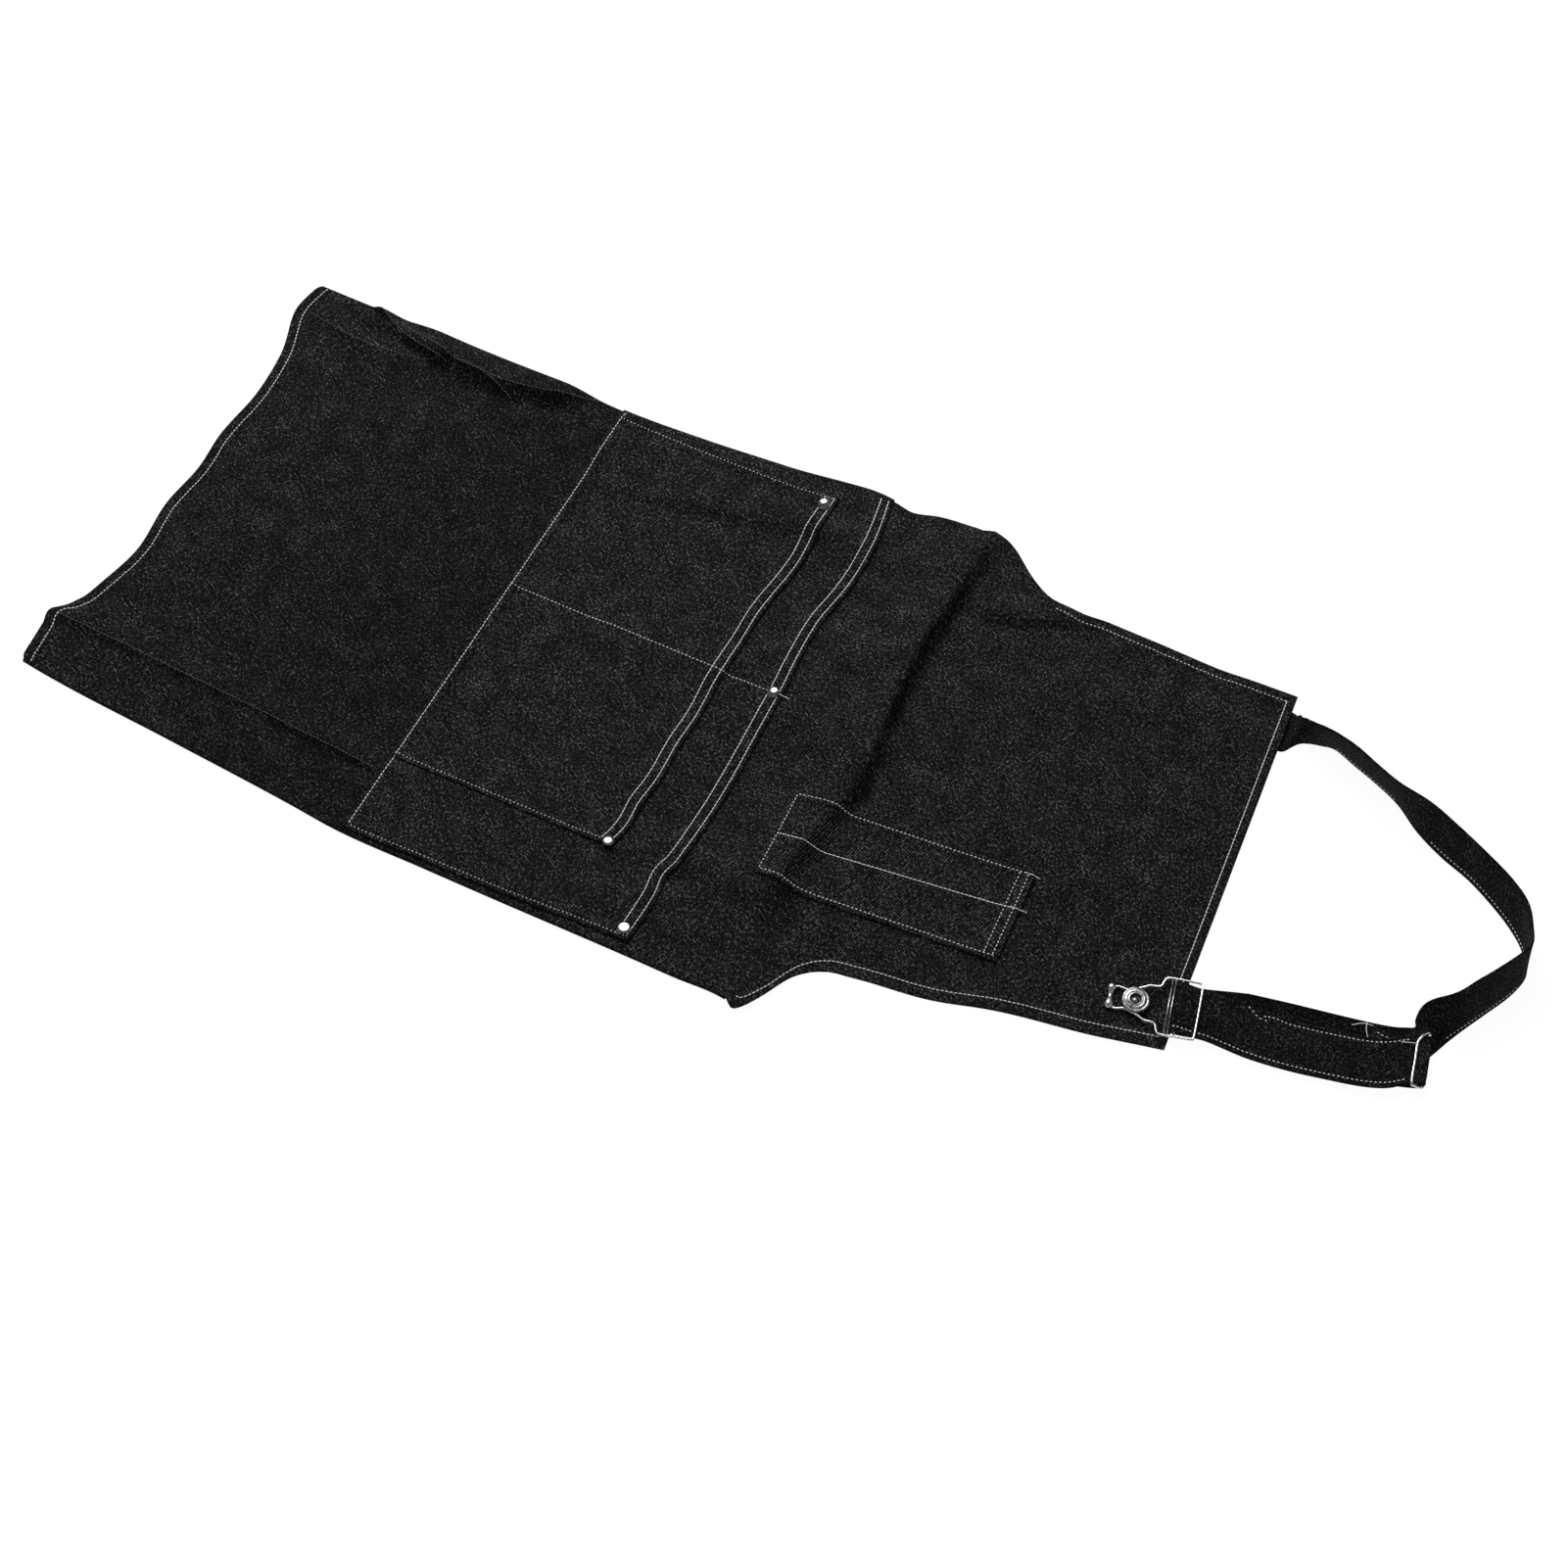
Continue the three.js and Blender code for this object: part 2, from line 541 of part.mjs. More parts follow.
function penPocketGrid() {
  const axis = (PEN.mouthY - PEN.footY) / (PEN.mouth - PEN.foot);
  const lineY = (share, x) => PEN.footY + axis * (x - PEN.foot) + share * PEN.width;
  const footX = (y) => PEN.foot - PEN_SLOPE.foot * (y - PEN.footY);
  const mouthX = (y) => PEN.mouth - PEN_SLOPE.mouth * (y - PEN.mouthY);
  const last = PEN.mouth - TURN_WIDTH - PEN_CLEAR;
  const inner = ROWS.filter((row) => row.u > PEN.foot + PEN_CLEAR && row.u < last);
  const stations = [
    { placeX: footX, edge: true, gape: 0 },
    ...inner.map((row) => ({ placeX: (y) => onRow(row, y).x, edge: false, gape: 0 })),
    { placeX: (y) => mouthX(y) - TURN_WIDTH, edge: false, gape: 0 },
    { placeX: mouthX, edge: true, gape: MOUTH_GAPE },
  ];
  return stations.map((station) => PEN_LINES.map((share) => {
    const guess = station.placeX(lineY(share, PEN.foot));
    const y = lineY(share, guess);
    const x = station.placeX(y);
    const back = bodyTopZ(x, y) + GAP + station.gape;
    const turned = station.edge || share === PEN_LINES[0] || share === PEN_LINES.at(-1);
    return clothPoint(x, y, back + CLOTH + (turned ? TURN : 0), back);
  }));
}

// Strap

function tableCurve(rows, names) {
  const points = rows.map((row) => new THREE.Vector3(...names.map((name) => row[name])));
  return new THREE.CatmullRomCurve3(points, false, 'catmullrom', 0.5);
}

// Level direction to the left of a heading in degrees
function leftOf(heading) {
  const turn = degToRad(heading);
  return new THREE.Vector3(-Math.sin(turn), Math.cos(turn), 0);
}

// A strap's station is its middle and the vector across it, from edge to edge
function flatStation(middle, left) {
  return { middle, across: left.clone().multiplyScalar(STRAP.width) };
}

function runStations() {
  const edge = tableCurve(STRAP_RUN, ['x', 'y']);
  const pose = tableCurve(STRAP_RUN, ['turn', 'lean', 'width']);
  const count = (STRAP_RUN.length - 1) * STRAP_STEPS;
  return Array.from({ length: count + 1 }, (_, k) => {
    const { x: turn, y: freeLean, z: width } = pose.getPoint(k / count);
    const lean = degToRad(clamp(freeLean, 0, 180));
    const across = leftOf(turn).multiplyScalar(Math.cos(lean)).setZ(Math.sin(lean)).multiplyScalar(width);
    const sole = GAP + STRAP.thick / 2 * Math.abs(Math.cos(lean));
    const middle = edge.getPoint(k / count).setZ(sole).addScaledVector(across, 0.5);
    return { middle, across };
  });
}

const BUCKLE_SIDE = leftOf(BUCKLE_TURN);
const BUCKLE_AXIS = leftOf(BUCKLE_TURN - 90);

function buckleZ(a) {
  return lerp(BUCKLE_RISE.tip, BUCKLE_RISE.end, (a - BUCKLE_WIRE[0].a) / BUCKLE_RISE.length);
}

function bucklePoint(a, b, z) {
  const at = new THREE.Vector3(BUTTON.x, BUTTON.y, 0);
  return at.addScaledVector(BUCKLE_AXIS, a).addScaledVector(BUCKLE_SIDE, b).setZ(z);
}

// Half turn of the strap round a bar, in the plane across the bar; from and to are angles in degrees
function barTurn(centre, ahead, left, from, to) {
  const radius = WIRE + GAP + STRAP.thick / 2;
  return Array.from({ length: BAR_TURN_STEPS + 1 }, (_, k) => {
    const angle = degToRad(lerp(from, to, k / BAR_TURN_STEPS));
    const middle = centre.clone().addScaledVector(ahead, radius * Math.cos(angle));
    middle.z += radius * Math.sin(angle);
    return flatStation(middle, left);
  });
}

function buckleStations() {
  const atAxis = ({ a, z }) => flatStation(bucklePoint(a, 0, z), BUCKLE_SIDE);
  const bar = bucklePoint(FOLD_BAR.a, 0, buckleZ(FOLD_BAR.a));
  const turn = barTurn(bar, BUCKLE_AXIS, BUCKLE_SIDE, -90, -270);
  return [...BUCKLE_WAY_IN.map(atAxis), ...turn, ...BUCKLE_WAY_OUT.map(atAxis)];
}

const SLIDER_SIDE = leftOf(SLIDER.turn);
const SLIDER_AHEAD = leftOf(SLIDER.turn - 90);

function sliderPoint(a, b, z) {
  const at = new THREE.Vector3(SLIDER.x, SLIDER.y, z);
  return at.addScaledVector(SLIDER_AHEAD, a).addScaledVector(SLIDER_SIDE, b);
}

function sliderStations() {
  const under = WIRE + GAP + STRAP.thick / 2;
  const below = sliderPoint(-1, 0, SLIDER.highZ - under);
  const bar = sliderPoint(SLIDER.spacing, 0, SLIDER.lowZ);
  return [flatStation(below, SLIDER_SIDE), ...barTurn(bar, SLIDER_AHEAD, SLIDER_SIDE, 90, -90)];
}

function tableStations(rows) {
  return rows.map((row) => flatStation(new THREE.Vector3(row.x, row.y, row.z), leftOf(row.turn)));
}

function ribbonGeometry(stations) {
  const grid = stations.map(({ middle, across }, k) => {
    const before = stations[Math.max(k - 1, 0)].middle;
    const after = stations[Math.min(k + 1, stations.length - 1)].middle;
    const up = after.clone().sub(before).cross(across).setLength(STRAP.thick / 2);
    return [-0.5, 0.5].map((share) => {
      const edge = middle.clone().addScaledVector(across, share);
      return { face: edge.clone().add(up).toArray(), back: edge.clone().sub(up).toArray() };
    });
  });
  return clothGeometry(grid);
}

function neckStrap() {
  const back = tableStations(STRAP_BACK);
  const end = tableStations(STRAP_END);
  return ribbonGeometry([...runStations(), ...buckleStations(), ...back, ...sliderStations(), ...end]);
}

// Metal

function turnedGeometry(profile, segments) {
  const points = profile.map(([radius, z]) => new THREE.Vector2(radius, z));
  return new THREE.LatheGeometry(points, segments).rotateX(Math.PI / 2);
}

// Top of the cloth under a rivet and underside of the body there
function rivetSeat(rivet) {
  const body = bodyTopZ(rivet.x, rivet.y);
  const pocket = GAP + CLOTH + TURN;
  return { under: body - CLOTH, top: body + rivet.pockets * pocket + MOUTH_GAPE };
}

function headProfile(rows, underside) {
  return rows.map(({ r, z }) => [r, underside + z]);
}

function rivetGeometry(rivet) {
  const { under, top } = rivetSeat(rivet);
  const head = top + GAP;
  const burr = under - GAP;
  return turnedGeometry([
    [0, burr - RIVET.burrThick],
    [RIVET.burr, burr - RIVET.burrThick],
    [RIVET.burr, burr],
    [RIVET.post, burr],
    [RIVET.post, head],
    ...headProfile(RIVET_HEAD, head),
  ], ROUND.rivet).translate(rivet.x, rivet.y, 0);
}

function buttonGeometry() {
  const bib = bodyTopZ(BUTTON.x, BUTTON.y);
  const under = bib - CLOTH - GAP;
  const head = bib + BUTTON.neckLong;
  return turnedGeometry([
    [0, under - TACK.thick],
    [TACK.radius, under - TACK.thick],
    [TACK.radius, under],
    [BUTTON.post, under],
    [BUTTON.post, bib + GAP],
    [BUTTON.neck, bib + GAP],
    [BUTTON.neck, head],
    ...headProfile(BUTTON_HEAD, head),
  ], ROUND.button).translate(BUTTON.x, BUTTON.y, 0);
}

function wireLoop(points, segments) {
  const curve = new THREE.CatmullRomCurve3(points, true, 'centripetal');
  return new THREE.TubeGeometry(curve, segments, WIRE, ROUND.wire, true);
}

function wireBar(from, to) {
  const section = new THREE.Shape().absarc(0, 0, BAR, 0, 2 * Math.PI);
  const extrudePath = new THREE.LineCurve3(from, to);
  return new THREE.ExtrudeGeometry(section, { extrudePath, steps: 1, curveSegments: ROUND.wire });
}

function buckleSolid() {
  const far = BUCKLE_WIRE.map(({ a, b }) => bucklePoint(a, b, buckleZ(a)));
  const near = [...BUCKLE_WIRE].reverse().map(({ a, b }) => bucklePoint(a, -b, buckleZ(a)));
  const frame = solid(wireLoop([...far, ...near], BUCKLE_SEGMENTS));
  const bars = BUCKLE_BARS.map(({ a, b }) => (
    solid(wireBar(bucklePoint(a, -b, buckleZ(a)), bucklePoint(a, b, buckleZ(a))))
  ));
  return bars.reduce((whole, bar) => whole.add(bar), frame);
}

function sliderGeometry() {
  const half = SLIDER.length / 2;
  const outer = half - SLIDER_CORNER.end;
  const inner = half - SLIDER_CORNER.start;
  const bar = (a, z) => [outer, inner, -inner, -outer].map((b) => sliderPoint(a, b, z));
  const low = bar(SLIDER.spacing, SLIDER.lowZ);
  const high = bar(0, SLIDER.highZ);
  const end = (b) => sliderPoint(SLIDER.spacing / 2, b, (SLIDER.lowZ + SLIDER.highZ) / 2);
  return wireLoop([...high, end(-half), ...low.reverse(), end(half)], SLIDER_SEGMENTS);
}

// Solids and nodes

function tidy(geometry) {
  geometry.deleteAttribute('normal');
  geometry.deleteAttribute('uv');
  const merged = mergeVertices(geometry, 1e-4);
  const old = merged.index.array;
  const index = [];
  for (let k = 0; k < old.length; k += 3) {
    const [a, b, c] = [old[k], old[k + 1], old[k + 2]];
    if (a !== b && b !== c && c !== a) {
      index.push(a, b, c);
    }
  }
  merged.setIndex(index);
  return merged;
}

function solid(geometry) {
  const clean = tidy(geometry);
  return new wasm.Manifold(new wasm.Mesh({
    numProp: 3,
    vertProperties: new Float32Array(clean.attributes.position.array),
    triVerts: new Uint32Array(clean.index.array),
  }));
}

function fromSolid(manifold) {
  const mesh = manifold.getMesh();
  const geometry = new THREE.BufferGeometry();
  geometry.setAttribute('position', new THREE.Float32BufferAttribute(mesh.vertProperties, 3));
  geometry.setIndex(Array.from(mesh.triVerts));
  return geometry;
}

const HOLE_DEPTH = 20; // more than all layers of cloth

// Round hole through the cloth above the given height
function hole(x, y, from, radius) {
  const geometry = new THREE.CylinderGeometry(radius, radius, HOLE_DEPTH, ROUND.hole);
  return solid(geometry.rotateX(Math.PI / 2).translate(x, y, from + HOLE_DEPTH / 2));
}

function rivetHoles(rivets) {
  return rivets.map((rivet) => hole(rivet.x, rivet.y, rivetSeat(rivet).under - GAP, RIVET.hole));
}

function buttonHole() {
  return hole(BUTTON.x, BUTTON.y, bodyTopZ(BUTTON.x, BUTTON.y) - CLOTH - GAP, BUTTON.hole);
}

function punched(geometry, holes) {
  return fromSolid(holes.reduce((whole, cutter) => whole.subtract(cutter), solid(geometry)));
}

function node(name, geometry, material) {
  const mesh = new THREE.Mesh(geometry, material);
  mesh.name = name;
  return mesh;
}

const smallRivets = RIVETS.filter((rivet) => rivet.pockets === 2);

const apron = new THREE.Group();
apron.name = 'canvas_apron';
const bodyHoles = [...rivetHoles(RIVETS), buttonHole()];
apron.add(node('body_panel', punched(clothGeometry(bodyGrid()), bodyHoles), cloth));
apron.add(node('large_pocket', punched(clothGeometry(largePocketGrid()), rivetHoles(RIVETS)), cloth));
apron.add(node('small_pocket', punched(clothGeometry(smallPocketGrid()), rivetHoles(smallRivets)), cloth));
apron.add(node('pen_pocket', tidy(clothGeometry(penPocketGrid())), cloth));
apron.add(node('neck_strap', tidy(neckStrap()), cloth));
for (const rivet of RIVETS) {
  apron.add(node(rivet.name, tidy(rivetGeometry(rivet)), nickel));
}
apron.add(node('bib_button', tidy(buttonGeometry()), nickel));
apron.add(node('bib_buckle', fromSolid(buckleSolid()), nickel));
apron.add(node('strap_slider', tidy(sliderGeometry()), nickel));
apron.position.set(-BOX_CENTRE.x, -BOX_CENTRE.y, 0);

export default apron;
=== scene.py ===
"""A bib apron of black denim, laid out on a pale floor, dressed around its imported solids."""

import math

import bpy
import numpy as np
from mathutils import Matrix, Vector
from mathutils.bvhtree import BVHTree


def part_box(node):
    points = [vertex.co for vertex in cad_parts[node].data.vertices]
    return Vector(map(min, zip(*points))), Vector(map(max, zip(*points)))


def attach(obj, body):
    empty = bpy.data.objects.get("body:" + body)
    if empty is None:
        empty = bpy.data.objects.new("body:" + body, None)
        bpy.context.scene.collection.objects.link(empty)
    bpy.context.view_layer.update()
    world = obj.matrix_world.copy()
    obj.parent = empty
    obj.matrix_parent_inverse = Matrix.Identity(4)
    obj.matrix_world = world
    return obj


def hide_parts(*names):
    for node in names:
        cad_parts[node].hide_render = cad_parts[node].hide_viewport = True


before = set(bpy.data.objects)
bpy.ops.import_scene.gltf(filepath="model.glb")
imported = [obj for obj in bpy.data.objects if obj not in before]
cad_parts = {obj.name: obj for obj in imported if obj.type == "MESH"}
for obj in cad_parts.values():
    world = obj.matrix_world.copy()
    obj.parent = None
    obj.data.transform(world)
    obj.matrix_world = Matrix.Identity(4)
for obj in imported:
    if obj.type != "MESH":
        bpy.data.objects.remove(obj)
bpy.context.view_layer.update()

# Sizes in millimetres, in the laying frame: X = 0 on the pockets' bottom seam and grows toward the
# bib, Y = 0 on the small pocket's centre line and grows toward the far side, Z = 0 is the floor
MM = 0.001
UP = np.array([0.0, 0.0, 1.0])
BUTTON = np.array([555.8, -103.5, 0.0])
button_low, button_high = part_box("bib_button")
SHIFT = np.array((button_low + button_high) / 2) - BUTTON * MM
SHIFT[2] = 0.0

# Cloth
CLOTH = 1.1  # one layer
TURN = 0.9  # what a turned edge adds
TURN_EASE = 2.0  # width over which that ends
HEM_TURN, SEAM_TURN, PEN_TURN, MOUTH_TURN = 11.0, 9.0, 8.0, 13.0  # widths of turned edges
GAP = 0.3  # clearance between layers
FLAP_ROOM = 1.6  # air between a folded flap and the cloth above it
FLAP_EASE = 26.0  # width over which the cloth comes down from a flap's edge
HEM = -265.0
BIB_TOP = 577.0
WAIST = 308.0
FOLD_ENDS = (300.0, 308.0)  # where the near and far side folds end
FOLD_TIGHTENS = 14.0  # length over which a side fold gets tighter before it ends
BIB_EASE = 40.0  # length over which the flaps stop lifting the cloth above the waist
BIB_SLOPE = 0.0858  # how far the bib's top runs back for each mm of Y
HEM_REACH = 110.0  # how far the hem's wave reaches into the skirt
MOUTH_FADE = 65.0  # how far the large mouth's wave reaches toward the bib
CORNER = 7.0  # radius of the hem's corners
EDGE_ROUND = 1.2  # radius of a folded edge
SHARPNESS = 1.4  # how suddenly a crease falls away from its crest
GROOVE, MOUTH_GROOVE = 0.4, 0.35  # depths of the grooves that stitches pull into edges and mouths
GROOVE_WIDTH = 1.2
BODY_GROOVE = 7.8  # from the body's edges to their groove

# Ripples beside a stitched edge: height, length, slant, how far and how often they wander, and the
# widths over which they start and end
PUCKER = 0.22
PUCKER_LENGTH = 8.0
PUCKER_SLANT = 0.7
PUCKER_WANDER, PUCKER_WAVES = 1.7, 0.11
PUCKER_START, PUCKER_END = 2.0, 6.0

# Pockets
LARGE_TOP = 225.0
SMALL_TOP = 181.0
LARGE_UNDER = 30.0  # how far the large pocket reaches under the far fold
POCKET_BASE = (1.5, -40.0, 262.0, 30.0)  # lift of the far fold by the pocket, its rows and their ease
SMALL_NEAR = 70.0  # from the near fold to the small pocket's side
MOUTH_GAPE = 0.7
GAPE_REACH, PEN_GAPE_REACH = 30.0, 25.0  # how far from the mouth a pocket stands off
PEN_FOOT = (275.5, -102.5)
PEN_MOUTH = (456.0, -82.0)
PEN_WIDTH = 76.0
PEN_SLOPE = (0.065, 0.055)  # its ends run back this much per mm of Y
PEN_CENTRE = (0.475, 0.575)  # share of the width where its centre seam starts and ends

# Strap
STRAP_WIDTH = 38.0
STRAP_THICK = 1.8
STRAP_EDGE = 0.9  # radius of its edge
STRAP_RIM = 0.08  # half of its thickness at the very edge
STRAP_STITCH = 4.0  # from the strap's edge to its stitches
STRAP_GROOVE, STRAP_GROOVE_WIDTH = 0.22, 1.0
STANDING_STITCH = 5.2  # from edge to stitches where the strap stands on its edge
FOLD_NARROWS = 0.1  # share of the width that its fold at the slider loses
TURN_STEPS = 7  # stations of a half turn round a bar
RUN_STEPS = 8  # stations for each row of the strap's run
REST_STEPS = 4  # stations for each row of the rest
UPPER_LAYER = (13, 20)  # rows of the rest that lie on top beside the buckle
# The lower layer's stretch between these rows is painted darker, as shade under the upper layer
LOWER_LAYER = (24, 4)  # the row of the run and the row of the rest between which it lies beneath

# Metal
WIRE = 0.95  # radius of the slider's wire
BUCKLE_GAUGE = 0.85  # radius of the buckle's wire
BAR = 0.7  # radius of its bars
BUCKLE_TURN = 14.0
SLIDER = np.array([741.8, -56.8])
SLIDER_TURN = 13.2
SLIDER_SPACING = 7.0  # between its bars
SLIDER_LOW, SLIDER_HIGH = 5.6, 9.0  # heights of its bars
SLIDER_ENTRY = -1.0  # where the strap passes beneath the upper bar

# Weave: how fine its flecks are along and across the twill, and shares of thick yarn and cloudy dye
FLECK_ALONG = 0.5
FLECK_SCALE = 1.1
SLUB_WEIGHT = 0.26
CLOUD_WEIGHT = 0.2
# Where each piece is cut from the cloth, so that no two have the same flecks; the body starts at 0
LARGE_CUT = (1000.0, 300.0)
SMALL_CUT = (2100.0, 700.0)
PEN_CUT = (3300.0, 90.0)
STRAP_CUT = 5000.0
# How the body's cloth grows lighter or darker by its row: from row to row, what it adds at the first
# and at the last
ROW_TONES = [(-265.0, -60.0, 0.028, 0.0), (-40.0, 240.0, -0.042, 0.0)]
# Greys of the cloth, by the strength of its pattern
GREYS = [(0.52, 0.0009), (0.64, 0.0034), (0.73, 0.009), (0.81, 0.022), (0.89, 0.055), (0.98, 0.13)]

# Thread
THREAD = 0.4  # radius
PITCH = 3.1  # from stitch to stitch
CLOSE, SPACED, OPEN, SUNK = 1.02, 0.84, 0.62, 0.4  # fill of lines from continuous to half hidden
TAIL = 0.32  # radius of a loose end
SAG = 0.08  # how far a loose end sinks at each step from where it leaves its seam
# One stitch: its rings along it, their radius and height
STITCH_RINGS = np.array([-0.5, -0.34, 0.0, 0.34, 0.5])
STITCH_RADIUS = np.array([0.45, 0.92, 1.0, 0.92, 0.45])
STITCH_HEIGHT = np.array([-0.7, 0.25, 0.55, 0.25, -0.7])

# Lines of stitches: from their edge, and where they start and end
HEM_LINE = (8.0, -227.0, 171.5)
BIB_TOP_LINE = (6.5, -74.0, 169.0)
NEAR_BIB_LINE = (8.8, 305.5, 572.0)
FAR_BIB_LINE = (7.5, 379.0, 572.0)
EDGE_LINE, MOUTH_LINE = 3.0, 10.0  # from a pocket's edge, and the second one from its mouth
LARGE_MOUTH_ENDS = (-222.0, 192.0)
LARGE_FOOT_ENDS = (-235.0, 172.0)
SIDE_LINE_ENDS = (4.0, 2.0)  # how far a pocket's side lines stay from its foot and mouth
SMALL_MOUTH_SLANT = 0.3  # how much the far ends of its mouth's lines draw in
CENTRE_LINE = (-5.0, 1.0)  # Y at the pockets' foot and at the large mouth
CENTRE_ENDS = (2.0, 226.0)
PEN_LINE_ENDS = (0.02, 0.985)  # shares of the pen pocket's length and width
PEN_SIDE_LINES = (0.045, 0.955)
PEN_CROSS_LINES = (0.018, 0.94, 0.975)
# The strap's lines: edge, distance from it, face, first and last row of its run or of the rest
RUN_LINES = [
    (-1, STANDING_STITCH, 1, 7, 10),
    (-1, STANDING_STITCH, 1, 11.5, 17),
    (-1, STRAP_STITCH, -1, 18.5, 21.5),
]
REST_LINES = [(-1, STRAP_STITCH, 1, 9, 21), (1, STRAP_STITCH, 1, 16, 21), (1, STRAP_STITCH, -1, 28, 31)]
STRAP_FOLD = [(625.7, -71), (630.5, -73.2), (636, -76), (643, -75.6)]  # along the strap's crease

# Loose ends: at the centre seam, at the pen pocket in shares of it, and by the slider with heights
CENTRE_TAIL = [(224, 0.8), (229, 1.4), (234, 1.2)]
PEN_TAILS = [
    [(0.96, 0.955), (1.0, 0.955), (1.022, 0.945)],
    [(0.96, PEN_CENTRE[1]), (1.0, PEN_CENTRE[1]), (1.03, PEN_CENTRE[1])],
]
SLIDER_TAILS = [
    [(694.5, -52.5, 6.4), (701, -48, 7.0), (708, -46.5, 6.6)],
    [(703, -46, 6.8), (704.5, -51.5, 7.2), (708, -56.5, 6.2)],
    [(729, -50, 8.8), (734, -48.5, 9.8), (739, -46.5, 10.2)],
]

# How fine the meshes are: distances between rows and columns of points, and counts of them
EDGE_STEPS = np.array([0, 0.35, 0.9, 1.8, 3.0, 4.4, 5.8, 7.0, 8.2, 9.4, 10.8, 12.6, 15.0])
STRAP_EDGE_STEPS = np.array([0, 0.3, 0.8, 1.8, 3.0, 4.0, 5.0, 7.0, 10.0, 14.0])
FOLD_ANGLES = np.radians(np.linspace(72, -72, 7))
FLAP_SHARES = np.array([0, 0.25, 0.5, 0.75, 1.0])
SKIRT_END, SKIRT_STEP = -10.0, 2.6
POCKETS_END, POCKETS_ROWS = 280.0, 63
WAIST_ROWS = np.arange(282.2, 334.0, 2.2)
BIB_GAP, BIB_STEP = 3.4, 5.4  # from the last waist row to the bib's first, and onward
SIDE_SHARE, SIDE_COLUMNS, MIDDLE_COLUMNS = 0.15, 36, 48  # the body's finer columns over its flaps
POCKET_STEP, PEN_STEP = 4.6, 4.0
LARGE_COLUMNS, SMALL_COLUMNS = 110, 90
PEN_POINTS, PEN_CROSS_POINTS = 120, 50
LINE_STEP = 1.5
RIPPLE_ENDS, RIPPLE_POINTS, RIPPLE_FILL = (0.02, 0.98), 160, 0.8
RIVET_SIDES, BUTTON_SIDES, WIRE_SIDES, TIP_SIDES, THREAD_SIDES = 40, 56, 12, 16, 6
WIRE_STEPS, TIP_STEPS, THREAD_STEPS = 8, 4, 6
ABOVE = 80.0  # height from which places are dropped onto the cloth

# Camera: where it looks in the laying frame, from how far, its angle from +X, elevation and lens
LOOK_AT = (261.57, -60.84, 0.0)
CAMERA_DISTANCE = 2000.0
AZIMUTH = -62.530
ELEVATION = 60.708
LENS, SENSOR = 63.86, 36.0
CLIP = (0.05, 50.0)  # metres

# Floor and surroundings
FLOOR_HALF, FLOOR_Z = 3000.0, -0.05
FLOOR_GREY, FLOOR_GLOW = 0.07, 0.96
SKY_STRENGTH = 0.2


class Table:
    """Rows of numbers with named columns, read smoothly by the first column."""

    def __init__(self, names, rows):
        columns = np.array(rows, float).T
        self.key = columns[0]
        self.columns = dict(zip(names.split(), columns))

    def at(self, name, where):
        return smooth(self.key, self.columns[name], where)


def smooth(xs, ys, at):
    """Smooth curve through points; beyond the ends it stays level."""
    at = np.clip(at, xs[0], xs[-1])
    step = np.diff(xs)
    slope = np.diff(ys) / step
    inner = (slope[:-1] * step[1:] + slope[1:] * step[:-1]) / (step[1:] + step[:-1])
    tangent = np.concatenate([slope[:1], inner, slope[-1:]])
    k = np.clip(np.searchsorted(xs, at) - 1, 0, len(step) - 1)
    t = (at - xs[k]) / step[k]
    start = (1 + 2 * t) * (1 - t) ** 2 * ys[k] + t * (1 - t) ** 2 * step[k] * tangent[k]
    end = t * t * (3 - 2 * t) * ys[k + 1] + t * t * (t - 1) * step[k] * tangent[k + 1]
    return start + end


def ease(t):
    s = np.clip(t, 0.0, 1.0)
    return s * s * (3 - 2 * s)


def mix(a, b, t):
    return a + (b - a) * t


def rounded(t):
    """Height of a quarter circle, from 0 to 1."""
    return np.sqrt(1 - (1 - np.clip(t, 0, 1)) ** 2)


def stacked(*values):
    """Points from coordinates of any matching shapes."""
    return np.stack(np.broadcast_arrays(*values), -1)


OUTLINE = Table("x near far near_flap far_flap large_inset small_inset", [
    (-265, -228.5, 172.5, 45, 29, 3, 9), (-230, -231.5, 173, 47, 30, 3, 8),
    (-150, -235, 174.5, 50, 33, 3, 7), (-40, -240, 175.5, 53, 38, 3, 7),
    (-10, -242, 174, 54, 40, 3.5, 6.5), (70, -240, 178.2, 53, 42, 4.5, 10),
    (130, -238, 184.5, 52, 44, 5.5, 14), (230, -234, 193.7, 49, 46, 9, 18.5),
    (239, -233.7, 192, 48.4, 46, 9, 18.4), (262, -233, 198, 47, 45, 9, 18),
    (296, -231, 201, 44, 42, 9, 15), (300, -231.2, 201.5, 44, 42, 9, 13),
    (308, -235.8, 202.5, 43, 41, 9, 9), (313, -231, 202.5, 40, 40, 9, 9),
    (320, -219.5, 202, 36, 38, 8, 8), (332, -196, 196.5, 28, 34, 8, 8),
    (338, -189, 192, 26, 32, 8, 8), (350, -180.8, 183, 26, 30, 8, 8),
    (368, -176.3, 173, 26, 30, 8, 8), (424, -166, 172, 26, 30, 8, 8),
    (460, -154.3, 172.3, 26, 30, 8, 8), (532, -138.5, 172.5, 26, 30, 8, 8),
    (577, -126.7, 175, 26, 30, 8, 8),
])
HEM_WAVE = Table("y shift", [
    (-230, -20), (-195, -23.5), (-180.5, -25), (-173.5, -17), (-165, -13), (-140, -6), (-110, 0),
    (-60, -4), (-20, -0.5), (10, -3), (60, 0.5), (100, -3.5), (145, -15.5), (172, -11.5),
])
